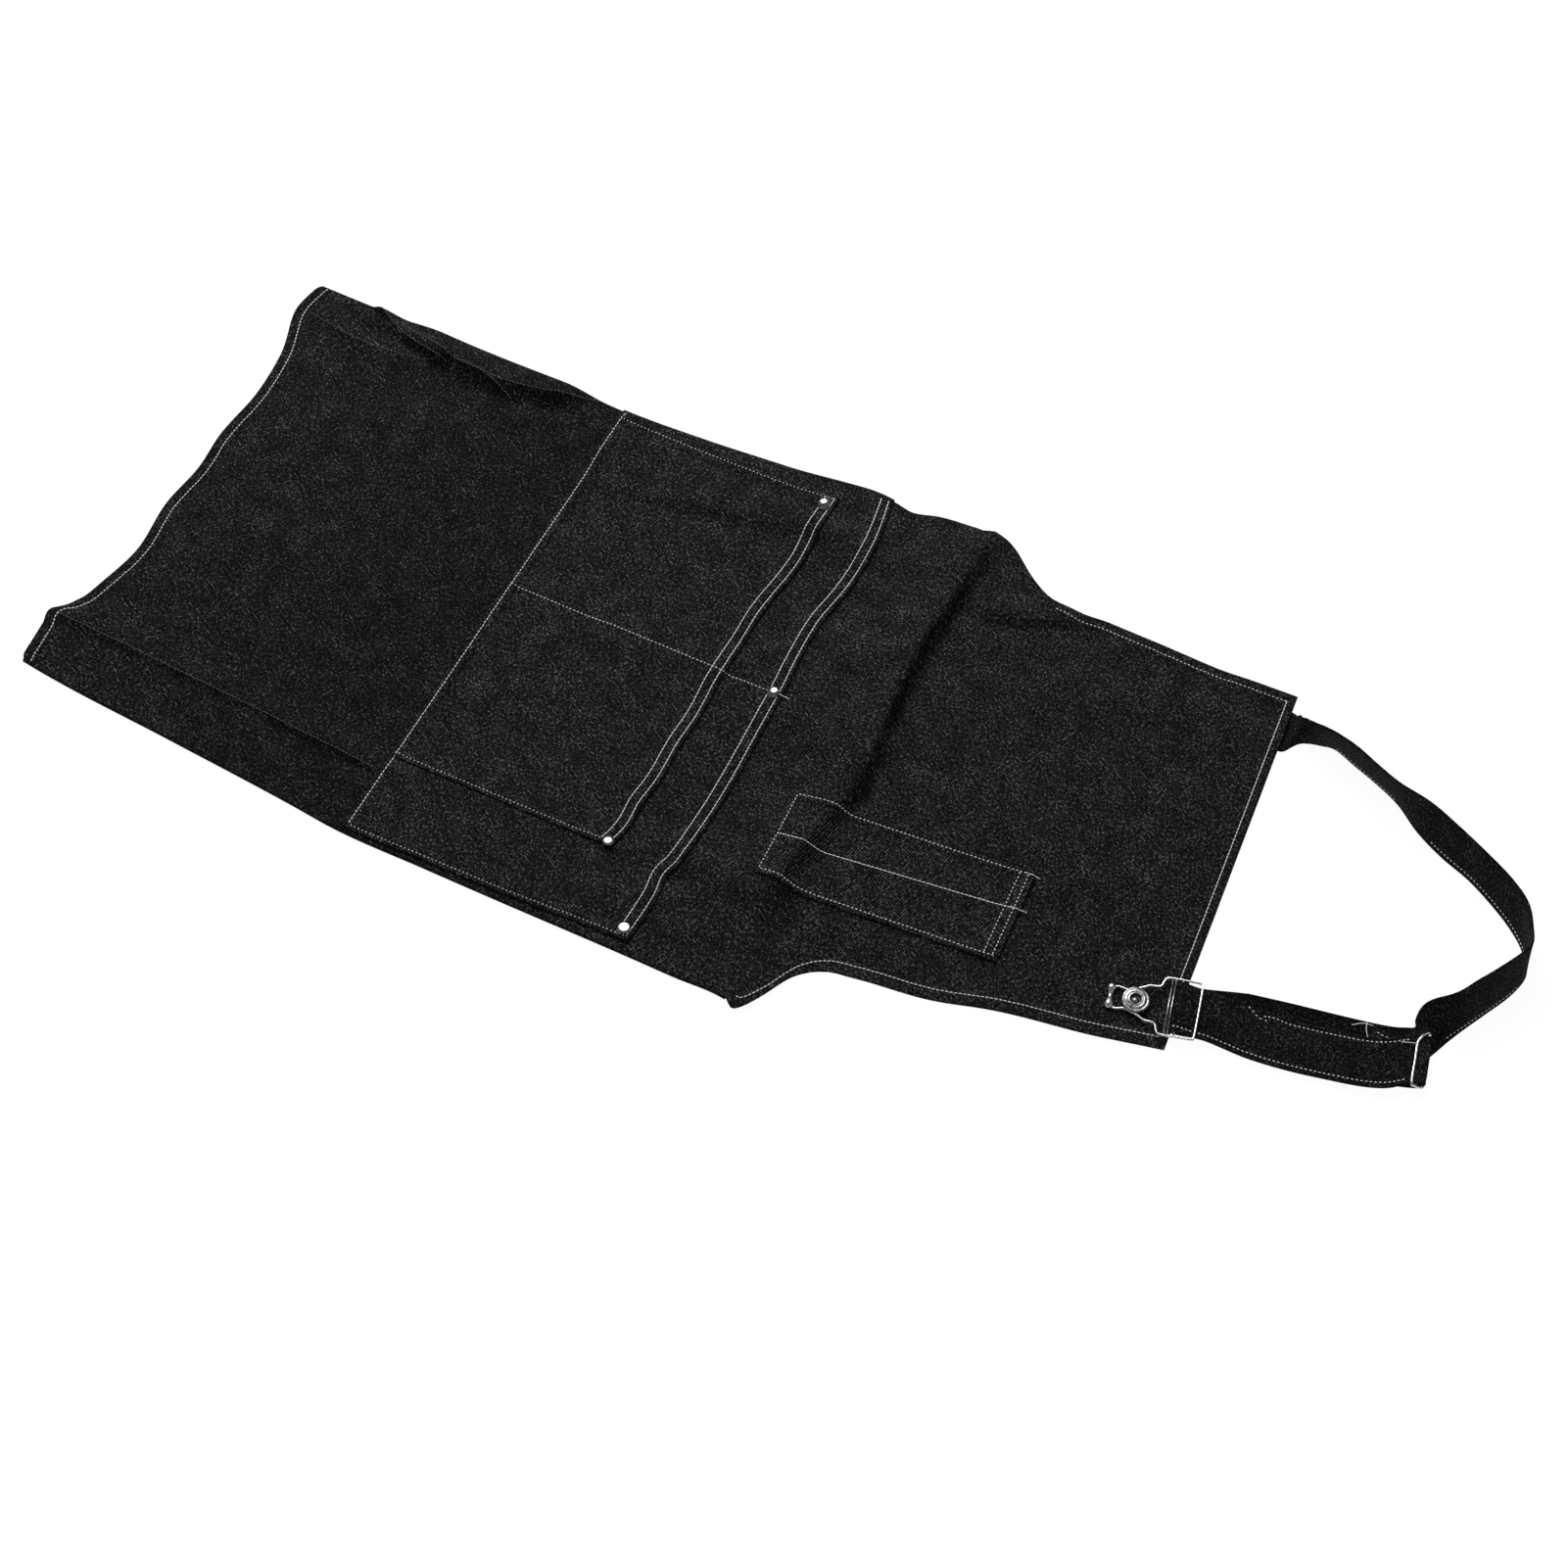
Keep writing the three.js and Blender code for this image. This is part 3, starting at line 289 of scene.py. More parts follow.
MOUTH_WAVE = Table("y small large", [
    (-230, -3, -1), (-204, -3, 1), (-184, -3, 1.3), (-166, -3, -1), (-154, 0, 3), (-142, 1, 4.3),
    (-126, -0.3, 5), (-104, 1.6, 5.2), (-66, 0.7, 4.8), (-44, 1.8, 3.8), (-14, 0.4, 3.2),
    (10, 0.2, 2.2), (30, 0.6, 0.2), (58, 0.4, -1.3), (76, 2.2, -0.8), (96, 5, 2.6),
    (112, 6.2, 4.5), (130, 5.5, 5.4), (150, 5.4, 5.4), (168, 5.5, 3.1), (198, 6, -3),
])

# Ridges and creases of the cloth: from one point to another, bowed to the left, with a height that
# falls away softly over the left width, sharply over the right width, and fades at both ends
RIDGES = [
    (-272, 145, -150, 148, -8, 1.8, 16, 7, 12),  # hem of the far flap, showing through
    (-288, -183, 4, -188, 1, 3.4, 26, 6, 12),  # hem of the near flap, showing through
    (-200, 167, -14, 175, -20, 10, 38, 12.5, 40),  # far roll
    (-228, 178, -142, 148, -7, 6.5, 14, 5.5, 8),  # fold at the start of the far roll
    (-138, 153, -82, 143, 2, 2.6, 3, 4, 14),  # pleat below the far roll
    (-226, 127, -182, 111, 1, 1.6, 4, 3, 14),  # short crease below the far roll
    (-212, 129, -142, 141, -2, 1.6, 12, 6, 22),  # soft crease below the far roll
    (2, -188, 226, -160, -1, 2.0, 22, 6, 14),  # near flap under the pockets
    (304, 138, 398, 166, -10, 6, 28, 9, 22),  # armhole crease
    (2, 102, 210, 145, -2, 3.2, 26, 7.5, 14),  # far flap under the pockets
    (66, -16, 190, -12, 0, 3.0, 50, 20, 26),  # slack of the small pocket
    (222, 68, 296, 42, -4, 4.2, 50, 17, 22),  # slack above the large pocket's mouth
    (226, -2, 312, -40, 0, 5.5, 60, 20, 18),  # slack left of the pen pocket
    (206, -148, 322, -156, 0, 5.5, 55, 24, 22),  # slack by the near waist
    (-250, 40, -60, 96, 6, 2.6, 40, 30, 60),  # broad waves of the skirt
    (-240, -60, -30, -40, -8, 2.6, 45, 35, 60),
    (-60, 130, -14, -60, 0, 2.6, 34, 14, 40),
    (360, 70, 520, 120, 8, 4.0, 45, 30, 50),  # broad waves of the bib
    (380, -10, 550, -40, -6, 4.5, 55, 32, 50),
]
RIPPLED = 5  # how many of them, from the first, have ripples along their crests

# The waist crease's crest, its height, and the widths of its steep and gentle sides
WAIST_CREASE = Table("y x height steep gentle", [
    (-200, 290, 0, 14, 60), (-172, 293, 4, 14, 60), (-140, 296, 9.5, 14, 60),
    (-100, 299, 11, 14, 60), (-62, 307, 10.5, 11, 60), (-35, 312, 10.5, 8.5, 60),
    (0, 307, 13, 7.5, 62), (40, 303, 14, 7.5, 62), (89, 300, 14, 7.5, 60), (134, 303, 13, 8.5, 60),
    (175, 304, 10.5, 11, 62), (194, 303, 6.5, 15, 64), (212, 302, 3, 24, 66),
])

# Crease of the strap's upper layer beside the buckle
STRAP_CREASES = [(626, -62, 668, -98, 4, 3.2, 9, 3.5, 10)]

# What holds the cloth up from below: place, height, radii of its level core and of its reach
RISES = [
    (174.4, -162.7, 1.4, 8, 45),  # back of a rivet
    (219.5, 2.3, 2.0, 12, 50),  # back of a rivet
    (555.8, -103.5, 1.4, 10, 40),  # back of the button
    (556, 146, 2.8, 34, 64),  # sewn end of the strap
]

# The strap's run: resting edge, heading, lean about that edge, width
STRAP_RUN = [
    (546, 128, 0, 0, 38), (558, 127.5, 0, 0, 36), (568, 128, 0, 0, 33.5), (573, 134, 2, 40, 24.5),
    (578, 141, 4, 75, 25.5), (584, 144.5, 3, 92, 31), (592, 146.8, 0, 100, 36),
    (603, 148.5, -8, 105, 38), (620, 142.5, -18, 102, 38), (640, 135.5, -21, 103, 38),
    (660, 126.5, -29, 100, 38), (680, 112, -32, 83, 38), (702, 101, -26, 79, 38),
    (726, 92.5, -25, 82, 38), (748, 81, -30, 81, 38), (765, 70, -36, 83, 38),
    (778, 58.5, -50, 92, 38), (785, 47, -72, 96, 38), (787, 36, -96, 103, 38),
    (782, 19, -113, 108, 38), (772, -1, -117, 111, 38), (761, -23, -116, 119, 37),
    (751.5, -46, -135, 170, 29), (747.5, -53, -147, 180, 26), (743, -59.5, -150, 180, 29),
    (735, -67.5, -153, 180, 33), (720, -76.5, -161, 180, 37), (695, -83.5, -167, 180, 38),
    (660, -91, -167, 180, 38), (632, -97.5, -166, 180, 38),
]
# Into the buckle and out again: along the buckle's axis from the button, to the side, height
BUCKLE_WAY_IN = [(62, 4.6, 1.6), (52, 2.8, 2.6), (43, 1.2, 4.0), (36, 0.3, 4.8)]
BUCKLE_WAY_OUT = [(36, 0, 8.2), (43, 0, 6.15), (52, 0, 5.0)]
# Back to the slider, and the free end: place, height and heading
STRAP_BACK = [
    (622, -89.5, 3.9, 6), (640, -88.5, 3.6, 7), (665, -84.5, 3.7, 11), (690, -79, 4.6, 13),
    (712, -73.5, 5.7, 15), (727, -67, 6.1, 19),
]
STRAP_END = [(734, -61, 3.45, 12), (720, -64, 3.35, 3), (707, -63, 3.35, -6)]

# Half of the buckle's wire: along its axis from the button, and to the side
BUCKLE_WIRE = [
    (-15, 8.2), (-12, 8.4), (-7, 7.4), (-1, 9.2), (4, 11.2), (8, 13.3), (15, 14.2),
    (17, 18.5), (19.5, 21.6), (30, 21.8), (41, 21.6), (43, 20.2), (43.4, 10),
]
# Its rolled tip: to the side, radius
BUCKLE_TIP = [
    (9.8, 1.0), (8.4, 2.8), (5.8, 3.4), (3.2, 2.2), (0.6, 1.6), (-1.6, 2.1), (-4.0, 3.0),
    (-7.2, 3.5), (-9.6, 1.2),
]
BUCKLE_TIP_AT = -17.6
BUCKLE_RISE = (4.0, 8.5, -20.0, 62.0)  # heights of the wire at both ends, its start and its length
BUCKLE_BARS = (22.6, 24.9, 29.6)  # along its axis; the strap turns round the last
BUCKLE_BAR_HALF = 21.6

# The slider's wire: ahead of its upper bar, to the side, height
SLIDER_WIRE = [
    (0, -18, 9), (0, 0, 9), (0, 11, 9), (1.6, 15.5, 8.8), (4, 19.5, 8.2), (6.5, 21.8, 7),
    (8.2, 20.6, 6), (7.2, 18, 5.6), (7, 0, 5.6), (7, -17.5, 5.6), (6, -19.4, 6.2), (2.2, -19.8, 8.2),
]

# Turned profiles: distance from the axis, height over the head's underside
RIVET_HEAD = [
    (0.0, -1.4), (4.2, -1.4), (4.7, -0.9), (4.8, 0.2), (4.7, 0.75), (4.3, 1.35),
    (3.6, 1.85), (2.7, 2.2), (1.5, 2.42), (0.0, 2.5),
]
BUTTON_HEAD = [
    (0.0, -3.0), (3.4, -3.0), (3.4, 0.0), (7.8, 0.0), (9.2, 0.4), (9.75, 1.1), (9.6, 1.8), (9.0, 2.35),
    (8.4, 2.5), (8.1, 2.3), (7.9, 2.2), (7.5, 2.45), (6.6, 2.75), (5.7, 2.85), (5.4, 2.6), (5.1, 2.6),
    (4.8, 2.9), (4.2, 2.9), (3.9, 2.5), (3.7, 1.2), (3.4, 0.9), (2.4, 0.8), (1.9, 1.0), (1.2, 1.5),
    (0.0, 1.7),
]
BUTTON_RISE = 2.9  # from the head's underside to its top
# The button's hollow is painted near black, as shade in the recess
HOLLOW = (1.9, 3.9)  # radii between which the head is a dark hollow
# Each rivet's place from its solid along X and Y, its rise per mm along X and Y, its dome's height
RIVETS = [
    ("rivet_small_far", 1.9, -3.4, 0.05, 0.22, 0.9),
    ("rivet_large_centre", 0.9, -1.7, 0.2, 0.12, 0.9),
    ("rivet_small_near", 0.0, 0.0, 0.09, -0.18, 0.75),
    ("rivet_large_near", 2.2, -0.6, 0.12, -0.03, 0.4),
]


# Mesh making


def place(points):
    return np.asarray(points, float) * MM + SHIFT


def new_object(name, points, faces, material, weave=None):
    """Mesh object from points in the laying frame, with an optional cloth coordinate for each point."""
    mesh = bpy.data.meshes.new(name)
    mesh.from_pydata(place(points), [], [list(map(int, face)) for face in faces])
    mesh.polygons.foreach_set("use_smooth", np.ones(len(mesh.polygons), bool))
    if weave is not None:
        corners = np.zeros(len(mesh.loops), int)
        mesh.loops.foreach_get("vertex_index", corners)
        layer = mesh.uv_layers.new(name="Weave")
        layer.uv.foreach_set("vector", np.asarray(weave, np.float32)[corners].ravel())
    mesh.materials.append(material)
    mesh.validate()
    item = bpy.data.objects.new(name, mesh)
    bpy.context.scene.collection.objects.link(item)
    return item


def dress(item, replaces=()):
    """Makes a piece ride on the apron, in the place of the solids that it stands for."""
    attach(item, "root")
    if replaces:
        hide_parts(*replaces)
    return item


def shell(name, face, back, weave, material, keep=None):
    """Closed cloth from two grids of points: two skins, and walls along every free edge."""
    rows, cols = face.shape[:2]
    keep = np.ones((rows - 1, cols - 1), bool) if keep is None else keep
    ids = np.arange(rows * cols).reshape(rows, cols)
    under = ids + rows * cols
    i, j = np.nonzero(keep)
    quads = [np.stack([ids[i, j], ids[i + 1, j], ids[i + 1, j + 1], ids[i, j + 1]], 1)]
    quads.append(np.stack([under[i, j], under[i, j + 1], under[i + 1, j + 1], under[i + 1, j]], 1))
    padded = np.pad(keep, 1)
    sides = [
        (padded[1:-1, :-2], (0, 0), (1, 0)),
        (padded[2:, 1:-1], (1, 0), (1, 1)),
        (padded[1:-1, 2:], (1, 1), (0, 1)),
        (padded[:-2, 1:-1], (0, 1), (0, 0)),
    ]
    for neighbour, start, end in sides:
        i, j = np.nonzero(keep & ~neighbour)
        a = (i + start[0], j + start[1])
        b = (i + end[0], j + end[1])
        quads.append(np.stack([under[a], under[b], ids[b], ids[a]], 1))
    faces = np.concatenate(quads)
    points = np.concatenate([face.reshape(-1, 3), back.reshape(-1, 3)])
    coords = np.concatenate([weave.reshape(-1, 2)] * 2)
    used, faces = np.unique(faces, return_inverse=True)
    return new_object(name, points[used], faces.reshape(-1, 4), material, coords[used])


def catmull(points, steps, closed=False):
    """Points of a Catmull-Rom curve through rows of numbers."""
    p = np.asarray(points, float)
    if closed:
        p = np.concatenate([p[-1:], p, p[:2]])
    else:
        p = np.concatenate([2 * p[:1] - p[1:2], p, 2 * p[-1:] - p[-2:-1]])
    spans = len(p) - 3
    at = np.arange(spans * steps + (0 if closed else 1)) / steps
    k = np.minimum(at.astype(int), spans - 1)
    t = (at - k)[:, None]
    a, b, c, d = (p[k + n] for n in range(4))
    bent = (2 * a - 5 * b + 4 * c - d) * t**2 + (3 * b - a - 3 * c + d) * t**3
    return 0.5 * (2 * b + (c - a) * t + bent)


def unit(vectors):
    return vectors / np.maximum(np.linalg.norm(vectors, axis=-1, keepdims=True), 1e-9)


def lengths(path):
    """Length of a path from its start to each of its points."""
    return np.concatenate([[0], np.cumsum(np.linalg.norm(np.diff(path, axis=0), axis=1))])


def circles(side, up, sides):
    """Points of unit circles, each in the plane of its two vectors."""
    angle = np.arange(sides) * 2 * math.pi / sides
    return side[:, None] * np.cos(angle)[:, None] + up[:, None] * np.sin(angle)[:, None]


def ring_quads(rings, sides, closed=False):
    """Faces between rings of points; closed joins the last ring to the first."""
    i, j = np.divmod(np.arange((rings if closed else rings - 1) * sides), sides)
    here, ahead, beside = i * sides, (i + 1) % rings * sides, (j + 1) % sides
    return np.stack([here + j, here + beside, ahead + beside, ahead + j], 1).tolist()


def ring_caps(rings, sides):
    last = (rings - 1) * sides
    return [list(range(sides))[::-1], list(range(last, last + sides))]


def tube_parts(path, radius, sides, closed=False):
    """Points and faces of a tube along a path."""
    path = np.asarray(path, float)
    if closed:
        ahead = unit(np.roll(path, -1, 0) - np.roll(path, 1, 0))
    else:
        ahead = unit(np.gradient(path, axis=0))
    side = unit(np.cross(ahead, UP) + 1e-6)
    radius = np.broadcast_to(np.asarray(radius, float), len(path))[:, None, None]
    points = path[:, None] + radius * circles(side, np.cross(side, ahead), sides)
    faces = ring_quads(len(path), sides, closed)
    if not closed:
        faces += ring_caps(len(path), sides)
    return points.reshape(-1, 3), faces


def lathe_parts(profile, sides, centre):
    """Points and faces of a turned piece whose profile starts and ends on the axis."""
    x_axis, y_axis, z_axis = np.eye(3)
    ring = circles(x_axis[None], y_axis[None], sides)[0]
    rings = [ring * radius + z_axis * z for radius, z in profile[1:-1]]
    ends = [z_axis * profile[0][1], z_axis * profile[-1][1]]
    points = np.concatenate([*rings, ends]) + centre
    faces = ring_quads(len(rings), sides)
    foot, last = len(rings) * sides, (len(rings) - 1) * sides
    for k in range(sides):
        after = (k + 1) % sides
        faces.append([foot, after, k])
        faces.append([foot + 1, last + k, last + after])
    return points, faces


def join_parts(parts):
    points, faces, start = [], [], 0
    for part_points, part_faces in parts:
        points.append(part_points)
        faces += [[index + start for index in face] for face in part_faces]
        start += len(part_points)
    return np.concatenate(points), faces


# Materials


class Nodes:
    """Short calls for the nodes of one material."""

    def __init__(self, name):
        self.material = bpy.data.materials.new(name)
        self.material.use_nodes = True
        self.tree = self.material.node_tree
        self.shader = self.tree.nodes["Principled BSDF"]

    def add(self, kind, inputs, output=0, **settings):
        """Output of a new node, its inputs given by name or number."""
        node = self.tree.nodes.new("ShaderNode" + kind)
        for key, value in settings.items():
            setattr(node, key, value)
        for key, value in inputs.items():
            self.feed(node.inputs[key], value)
        return node.outputs[output]

    def feed(self, socket, value):
        if isinstance(value, bpy.types.NodeSocket):
            self.tree.links.new(value, socket)
        else:
            socket.default_value = value

    def math(self, operation, a, b=0.0):
        return self.add("Math", {0: a, 1: b}, operation=operation)

    def dot(self, vector, direction):
        return self.add("VectorMath", {0: vector, 1: direction}, "Value", operation="DOT_PRODUCT")

    def noise(self, vector, scale, detail):
        return self.add("TexNoise", {"Vector": vector, "Scale": scale, "Detail": detail}, "Fac")

    def bump(self, height, distance, strength):
        return self.add("Bump", {"Height": height, "Distance": distance, "Strength": strength})

    def ramp(self, value, stops):
        """Slightly blue greys at stops of a value."""
        colour = self.add("ValToRGB", {0: value})
        elements = colour.node.color_ramp.elements
        while len(elements) < len(stops):
            elements.new(0.5)
        for element, (at, grey) in zip(elements, stops):
            element.position = at
            element.color = (grey, grey, grey * 1.03, 1.0)
        return colour

    def shade(self, **values):
        for key, value in values.items():
            self.feed(self.shader.inputs[key.replace("_", " ")], value)
        return self.material


def denim(name, twill, brightness=1.0, line_weight=0.06):
    """Black twill with pale flecks; twill is cycles per mm along the cloth's two directions."""
    nodes = Nodes(name)
    cloth = nodes.add("UVMap", {}, uv_map="Weave")
    period = math.hypot(*twill)
    along = (-twill[1] / period, twill[0] / period, 0.0)
    wobble = nodes.noise(cloth, scale=0.25, detail=1.0)
    phase = nodes.math("ADD", nodes.dot(cloth, (*twill, 0.0)), nodes.math("MULTIPLY", wobble, 0.4))
    lines = nodes.math("SINE", nodes.math("MULTIPLY", phase, 2 * math.pi))
    thread = nodes.math("MULTIPLY", nodes.dot(cloth, along), FLECK_ALONG)
    flecks = nodes.noise(nodes.add("CombineXYZ", {0: thread, 1: phase}), FLECK_SCALE, detail=2.0)
    slubs = nodes.noise(cloth, scale=0.28, detail=3.0)
    clouds = nodes.noise(cloth, scale=0.06, detail=2.0)
    value = flecks
    for pattern, weight in ((lines, line_weight), (slubs, SLUB_WEIGHT), (clouds, CLOUD_WEIGHT)):
        value = nodes.math("ADD", value, nodes.math("MULTIPLY", pattern, weight))
    row = nodes.dot(cloth, (1.0, 0.0, 0.0))
    for start, end, first, last in ROW_TONES:
        fade = nodes.add("MapRange", {"Value": row, 1: start, 2: end, 3: first, 4: last})
        value = nodes.math("ADD", value, fade)
    colour = nodes.ramp(value, [(at, grey * brightness) for at, grey in GREYS])
    height = nodes.math("ADD", nodes.math("MULTIPLY", lines, 0.5), flecks)
    normal = nodes.bump(height, distance=0.00025, strength=0.6)
    return nodes.shade(Base_Color=colour, Normal=normal, Roughness=0.9, Specular_IOR_Level=0.05)


def yarn(name, dark, pale):
    """Fuzzy yarn between a dark and a pale grey."""
    nodes = Nodes(name)
    fuzz = nodes.noise(nodes.add("TexCoord", {}, "Object"), scale=900.0, detail=2.0)
    colour = nodes.ramp(fuzz, [(0.3, dark), (0.7, pale)])
    normal = nodes.bump(fuzz, distance=0.0001, strength=0.4)
    return nodes.shade(Base_Color=colour, Normal=normal, Roughness=0.75, Specular_IOR_Level=0.2)


def nickel(name, dark, pale, roughness):
    """Nickel plate with hazy wear between a dark and a pale grey."""
    nodes = Nodes(name)
    haze = nodes.noise(nodes.add("TexCoord", {}, "Object"), scale=380.0, detail=3.0)
    colour = nodes.ramp(haze, [(0.38, dark), (0.62, pale)])
    rough = nodes.math("ADD", nodes.math("MULTIPLY", haze, 0.12), roughness)
    normal = nodes.bump(haze, distance=0.00005, strength=0.3)
    return nodes.shade(Base_Color=colour, Normal=normal, Roughness=rough, Metallic=1.0)


DENIM = denim("black_denim", twill=(0.26, 0.51))
# Pale yarn for the ripples on crests: partly wear, partly painted highlight where light catches the
# folds
WORN_AND_HIGHLIT_DENIM = yarn("worn_and_highlit_denim", dark=0.06, pale=0.11)
CROSS_DENIM = denim("cross_denim", twill=(0.523, -0.168), brightness=0.95, line_weight=0.11)
STRAP_DENIM = denim("strap_denim", twill=(0.51, 0.26), brightness=0.65)
# A darker copy of the strap's denim: painted shade on the lower layer where the upper one lies over it
SHADOWED_STRAP_DENIM = denim("shadowed_strap_denim", twill=(0.51, 0.26), brightness=0.35)
COTTON = yarn("cotton_thread", dark=0.66, pale=0.86)
NICKEL = nickel("nickel_plate", dark=0.66, pale=0.84, roughness=0.12)
RIVET_NICKEL = nickel("rivet_nickel", dark=0.22, pale=0.4, roughness=0.05)
WORN_NICKEL = nickel("worn_nickel", dark=0.16, pale=0.5, roughness=0.26)
# Near-black nickel: painted shade in the button's hollow
HOLLOW_SHADE_NICKEL = nickel("hollow_shade_nickel", dark=0.02, pale=0.06, roughness=0.3)


# Laid cloth


def crest(aside, soft, sharp):
    """Share of a ridge's height beside its crest: soft on the positive side, sharp on the other."""
    return np.where(aside > 0, ease(1 - aside / soft), np.clip(1 + aside / sharp, 0, 1) ** SHARPNESS)


def ridge_heights(x, y, ridges=RIDGES):
    total = np.zeros(np.broadcast(x, y).shape)
    for x0, y0, x1, y1, bow, height, left, right, fade in ridges:
        length = math.hypot(x1 - x0, y1 - y0)
        ahead = np.array([x1 - x0, y1 - y0]) / length
        along = (x - x0) * ahead[0] + (y - y0) * ahead[1]
        bend = bow * np.sin(math.pi * np.clip(along / length, 0, 1))
        aside = (y - y0) * ahead[0] - (x - x0) * ahead[1] - bend
        fall = crest(aside, left, right)
        total = total + height * fall * ease(along / fade) * ease((length - along) / fade)
    return total


def waist_height(x, y):
    aside = WAIST_CREASE.at("x", y) - x
    fall = crest(aside, WAIST_CREASE.at("gentle", y), WAIST_CREASE.at("steep", y))
    return WAIST_CREASE.at("height", y) * fall


def rise_heights(x, y):
    highest = np.zeros(np.broadcast(x, y).shape)
    for at_x, at_y, height, core, reach in RISES:
        distance = np.hypot(x - at_x, y - at_y)
        highest = np.maximum(highest, height * (1 - ease((distance - core) / (reach - core))))
    return highest


def corner_shift(u, y):
    """How far the hem's rounded corners draw the cloth back."""
    edge = np.minimum(y - OUTLINE.at("near", u), OUTLINE.at("far", u) - y)
    return CORNER * (1 - rounded(edge / CORNER)) * (1 - ease((u - HEM) / (2 * CORNER)))


def row_x(u, y):
    """X of the cloth's row u at Y, moved by the waves of hem and mouths and the bib's turn."""
    hem = HEM_WAVE.at("shift", y) * (1 - ease((u - HEM) / HEM_REACH)) + corner_shift(u, y)
    between = LARGE_TOP - SMALL_TOP
    small = np.where(u < SMALL_TOP, ease(u / SMALL_TOP), ease((LARGE_TOP - u) / between))
    large = ease((u - SMALL_TOP) / between) * (1 - ease((u - LARGE_TOP) / MOUTH_FADE))
    turn = np.clip((u - LARGE_TOP) / (BIB_TOP - LARGE_TOP), 0, 1)
    waves = MOUTH_WAVE.at("small", y) * small + MOUTH_WAVE.at("large", y) * large
    return u + hem + waves - BIB_SLOPE * turn * y


def row_at(x, y):
    """The cloth's row that passes through a place."""
    u = np.array(x, float)
    for _ in range(4):
        u = u + (x - row_x(u, y))
    return u


def far_base(u):
    """How far the far fold lies over the floor, on the end of the large pocket."""
    height, start, end, reach = POCKET_BASE
    return height * ease((u - start) / reach) * ease((end - u) / reach)


def lift(u, x, y):
    """Height of the cloth's underside over the floor."""
    flaps = 1 - ease((u - WAIST) / BIB_EASE)
    near_edge = OUTLINE.at("near", u) + OUTLINE.at("near_flap", u)
    far_edge = OUTLINE.at("far", u) - OUTLINE.at("far_flap", u)
    near = ease((near_edge + FLAP_EASE - y) / FLAP_EASE) * (CLOTH + FLAP_ROOM)
    far = ease((y - far_edge + FLAP_EASE) / FLAP_EASE) * (CLOTH + FLAP_ROOM + far_base(u))
    held = np.maximum(flaps * np.maximum(near, far), rise_heights(x, y))
    return held + waist_height(x, y) + ridge_heights(x, y)


def graded(low, high, step, low_edge=True, high_edge=True):
    """Stations from low to high, closer together beside a turned edge."""
    first = low + EDGE_STEPS if low_edge else np.array([low])
    last = high - EDGE_STEPS[::-1] if high_edge else np.array([high])
    count = max(2, round((last[0] - first[-1]) / step))
    inner = np.linspace(first[-1], last[0], count + 1)[1:-1]
    return np.concatenate([first, inner, last])


def across(near, far, shares, far_edge=True):
    """Places across each row, near to far, closer together beside a turned edge."""
    first = near + EDGE_STEPS
    last = far - EDGE_STEPS[::-1] if far_edge else far
    inner = mix(first[:, -1:], last[:, :1], shares)
    return np.concatenate([first, inner, last], axis=1)


def groove(distance, inset, depth, width=GROOVE_WIDTH):
    """Depth of the groove along a line of stitches."""
    return depth * np.exp(-(((distance - inset) / width) ** 2))


def skins(low, distance, turned, along, stitch):
    """Top and bottom heights of cloth over low, with rounded, turned and stitched edges."""
    full = CLOTH + TURN * (1 - ease((distance - turned + TURN_EASE) / TURN_EASE))
    middle = low + full / 2
    half = rounded(distance / EDGE_ROUND) * full / 2
    wander = PUCKER_WANDER * np.sin(along * PUCKER_WAVES)
    ripple = np.sin(2 * math.pi * (along + PUCKER_SLANT * distance) / PUCKER_LENGTH + wander)
    fade = ease(distance / PUCKER_START) * (1 - ease((distance - turned) / PUCKER_END))
    top = middle + half - groove(distance, stitch, GROOVE)
    return top + PUCKER * fade * ripple, middle - half


def fold_top(u, edge):
    """Height of the cloth's top at the edge of a side fold."""
    return lift(u, row_x(u, edge), edge) + CLOTH


def fold_radius(u, full, end):
    """Radius of a side fold: its full one, tighter toward the end, and none beyond it."""
    return np.where(u <= end, mix(CLOTH, full, ease((end - u) / FOLD_TIGHTENS)), 0)


def fold_side(u, x, y, z, side, outer, flap_width):
    """Face, back and cloth place of a fold and the flap beneath it, from the top down."""
    c, s = np.cos(FOLD_ANGLES), np.sin(FOLD_ANGLES)
    flap_y = y - side * FLAP_SHARES * flap_width
    flap_x = row_x(u, flap_y)

    def layer(radius):
        ring = stacked(x, y + side * radius * c, z + radius * s)
        return np.concatenate([ring, stacked(flap_x, flap_y, z - radius)], 1)

    arc = outer * (math.pi / 2 - FOLD_ANGLES)
    reach = np.concatenate([arc, math.pi * outer + FLAP_SHARES * flap_width], 1)
    return layer(outer), layer(outer - CLOTH), y + side * reach


def body_rows():
    skirt = graded(HEM, SKIRT_END, SKIRT_STEP, True, False)
    pockets = np.linspace(SKIRT_END, POCKETS_END, POCKETS_ROWS)[1:]
    bib = graded(WAIST_ROWS[-1] + BIB_GAP, BIB_TOP, BIB_STEP, False, True)
    return np.concatenate([skirt, pockets, WAIST_ROWS, bib])


def body_shares():
    """Shares of the width where the body has columns, closer together over the flaps."""
    near = np.linspace(0, SIDE_SHARE, SIDE_COLUMNS, False)[1:]
    middle = np.linspace(SIDE_SHARE, 1 - SIDE_SHARE, MIDDLE_COLUMNS, False)
    return np.concatenate([near, middle, np.linspace(1 - SIDE_SHARE, 1, SIDE_COLUMNS, False)])


def even_shares(count):
    return np.linspace(0, 1, count + 1)[1:-1]


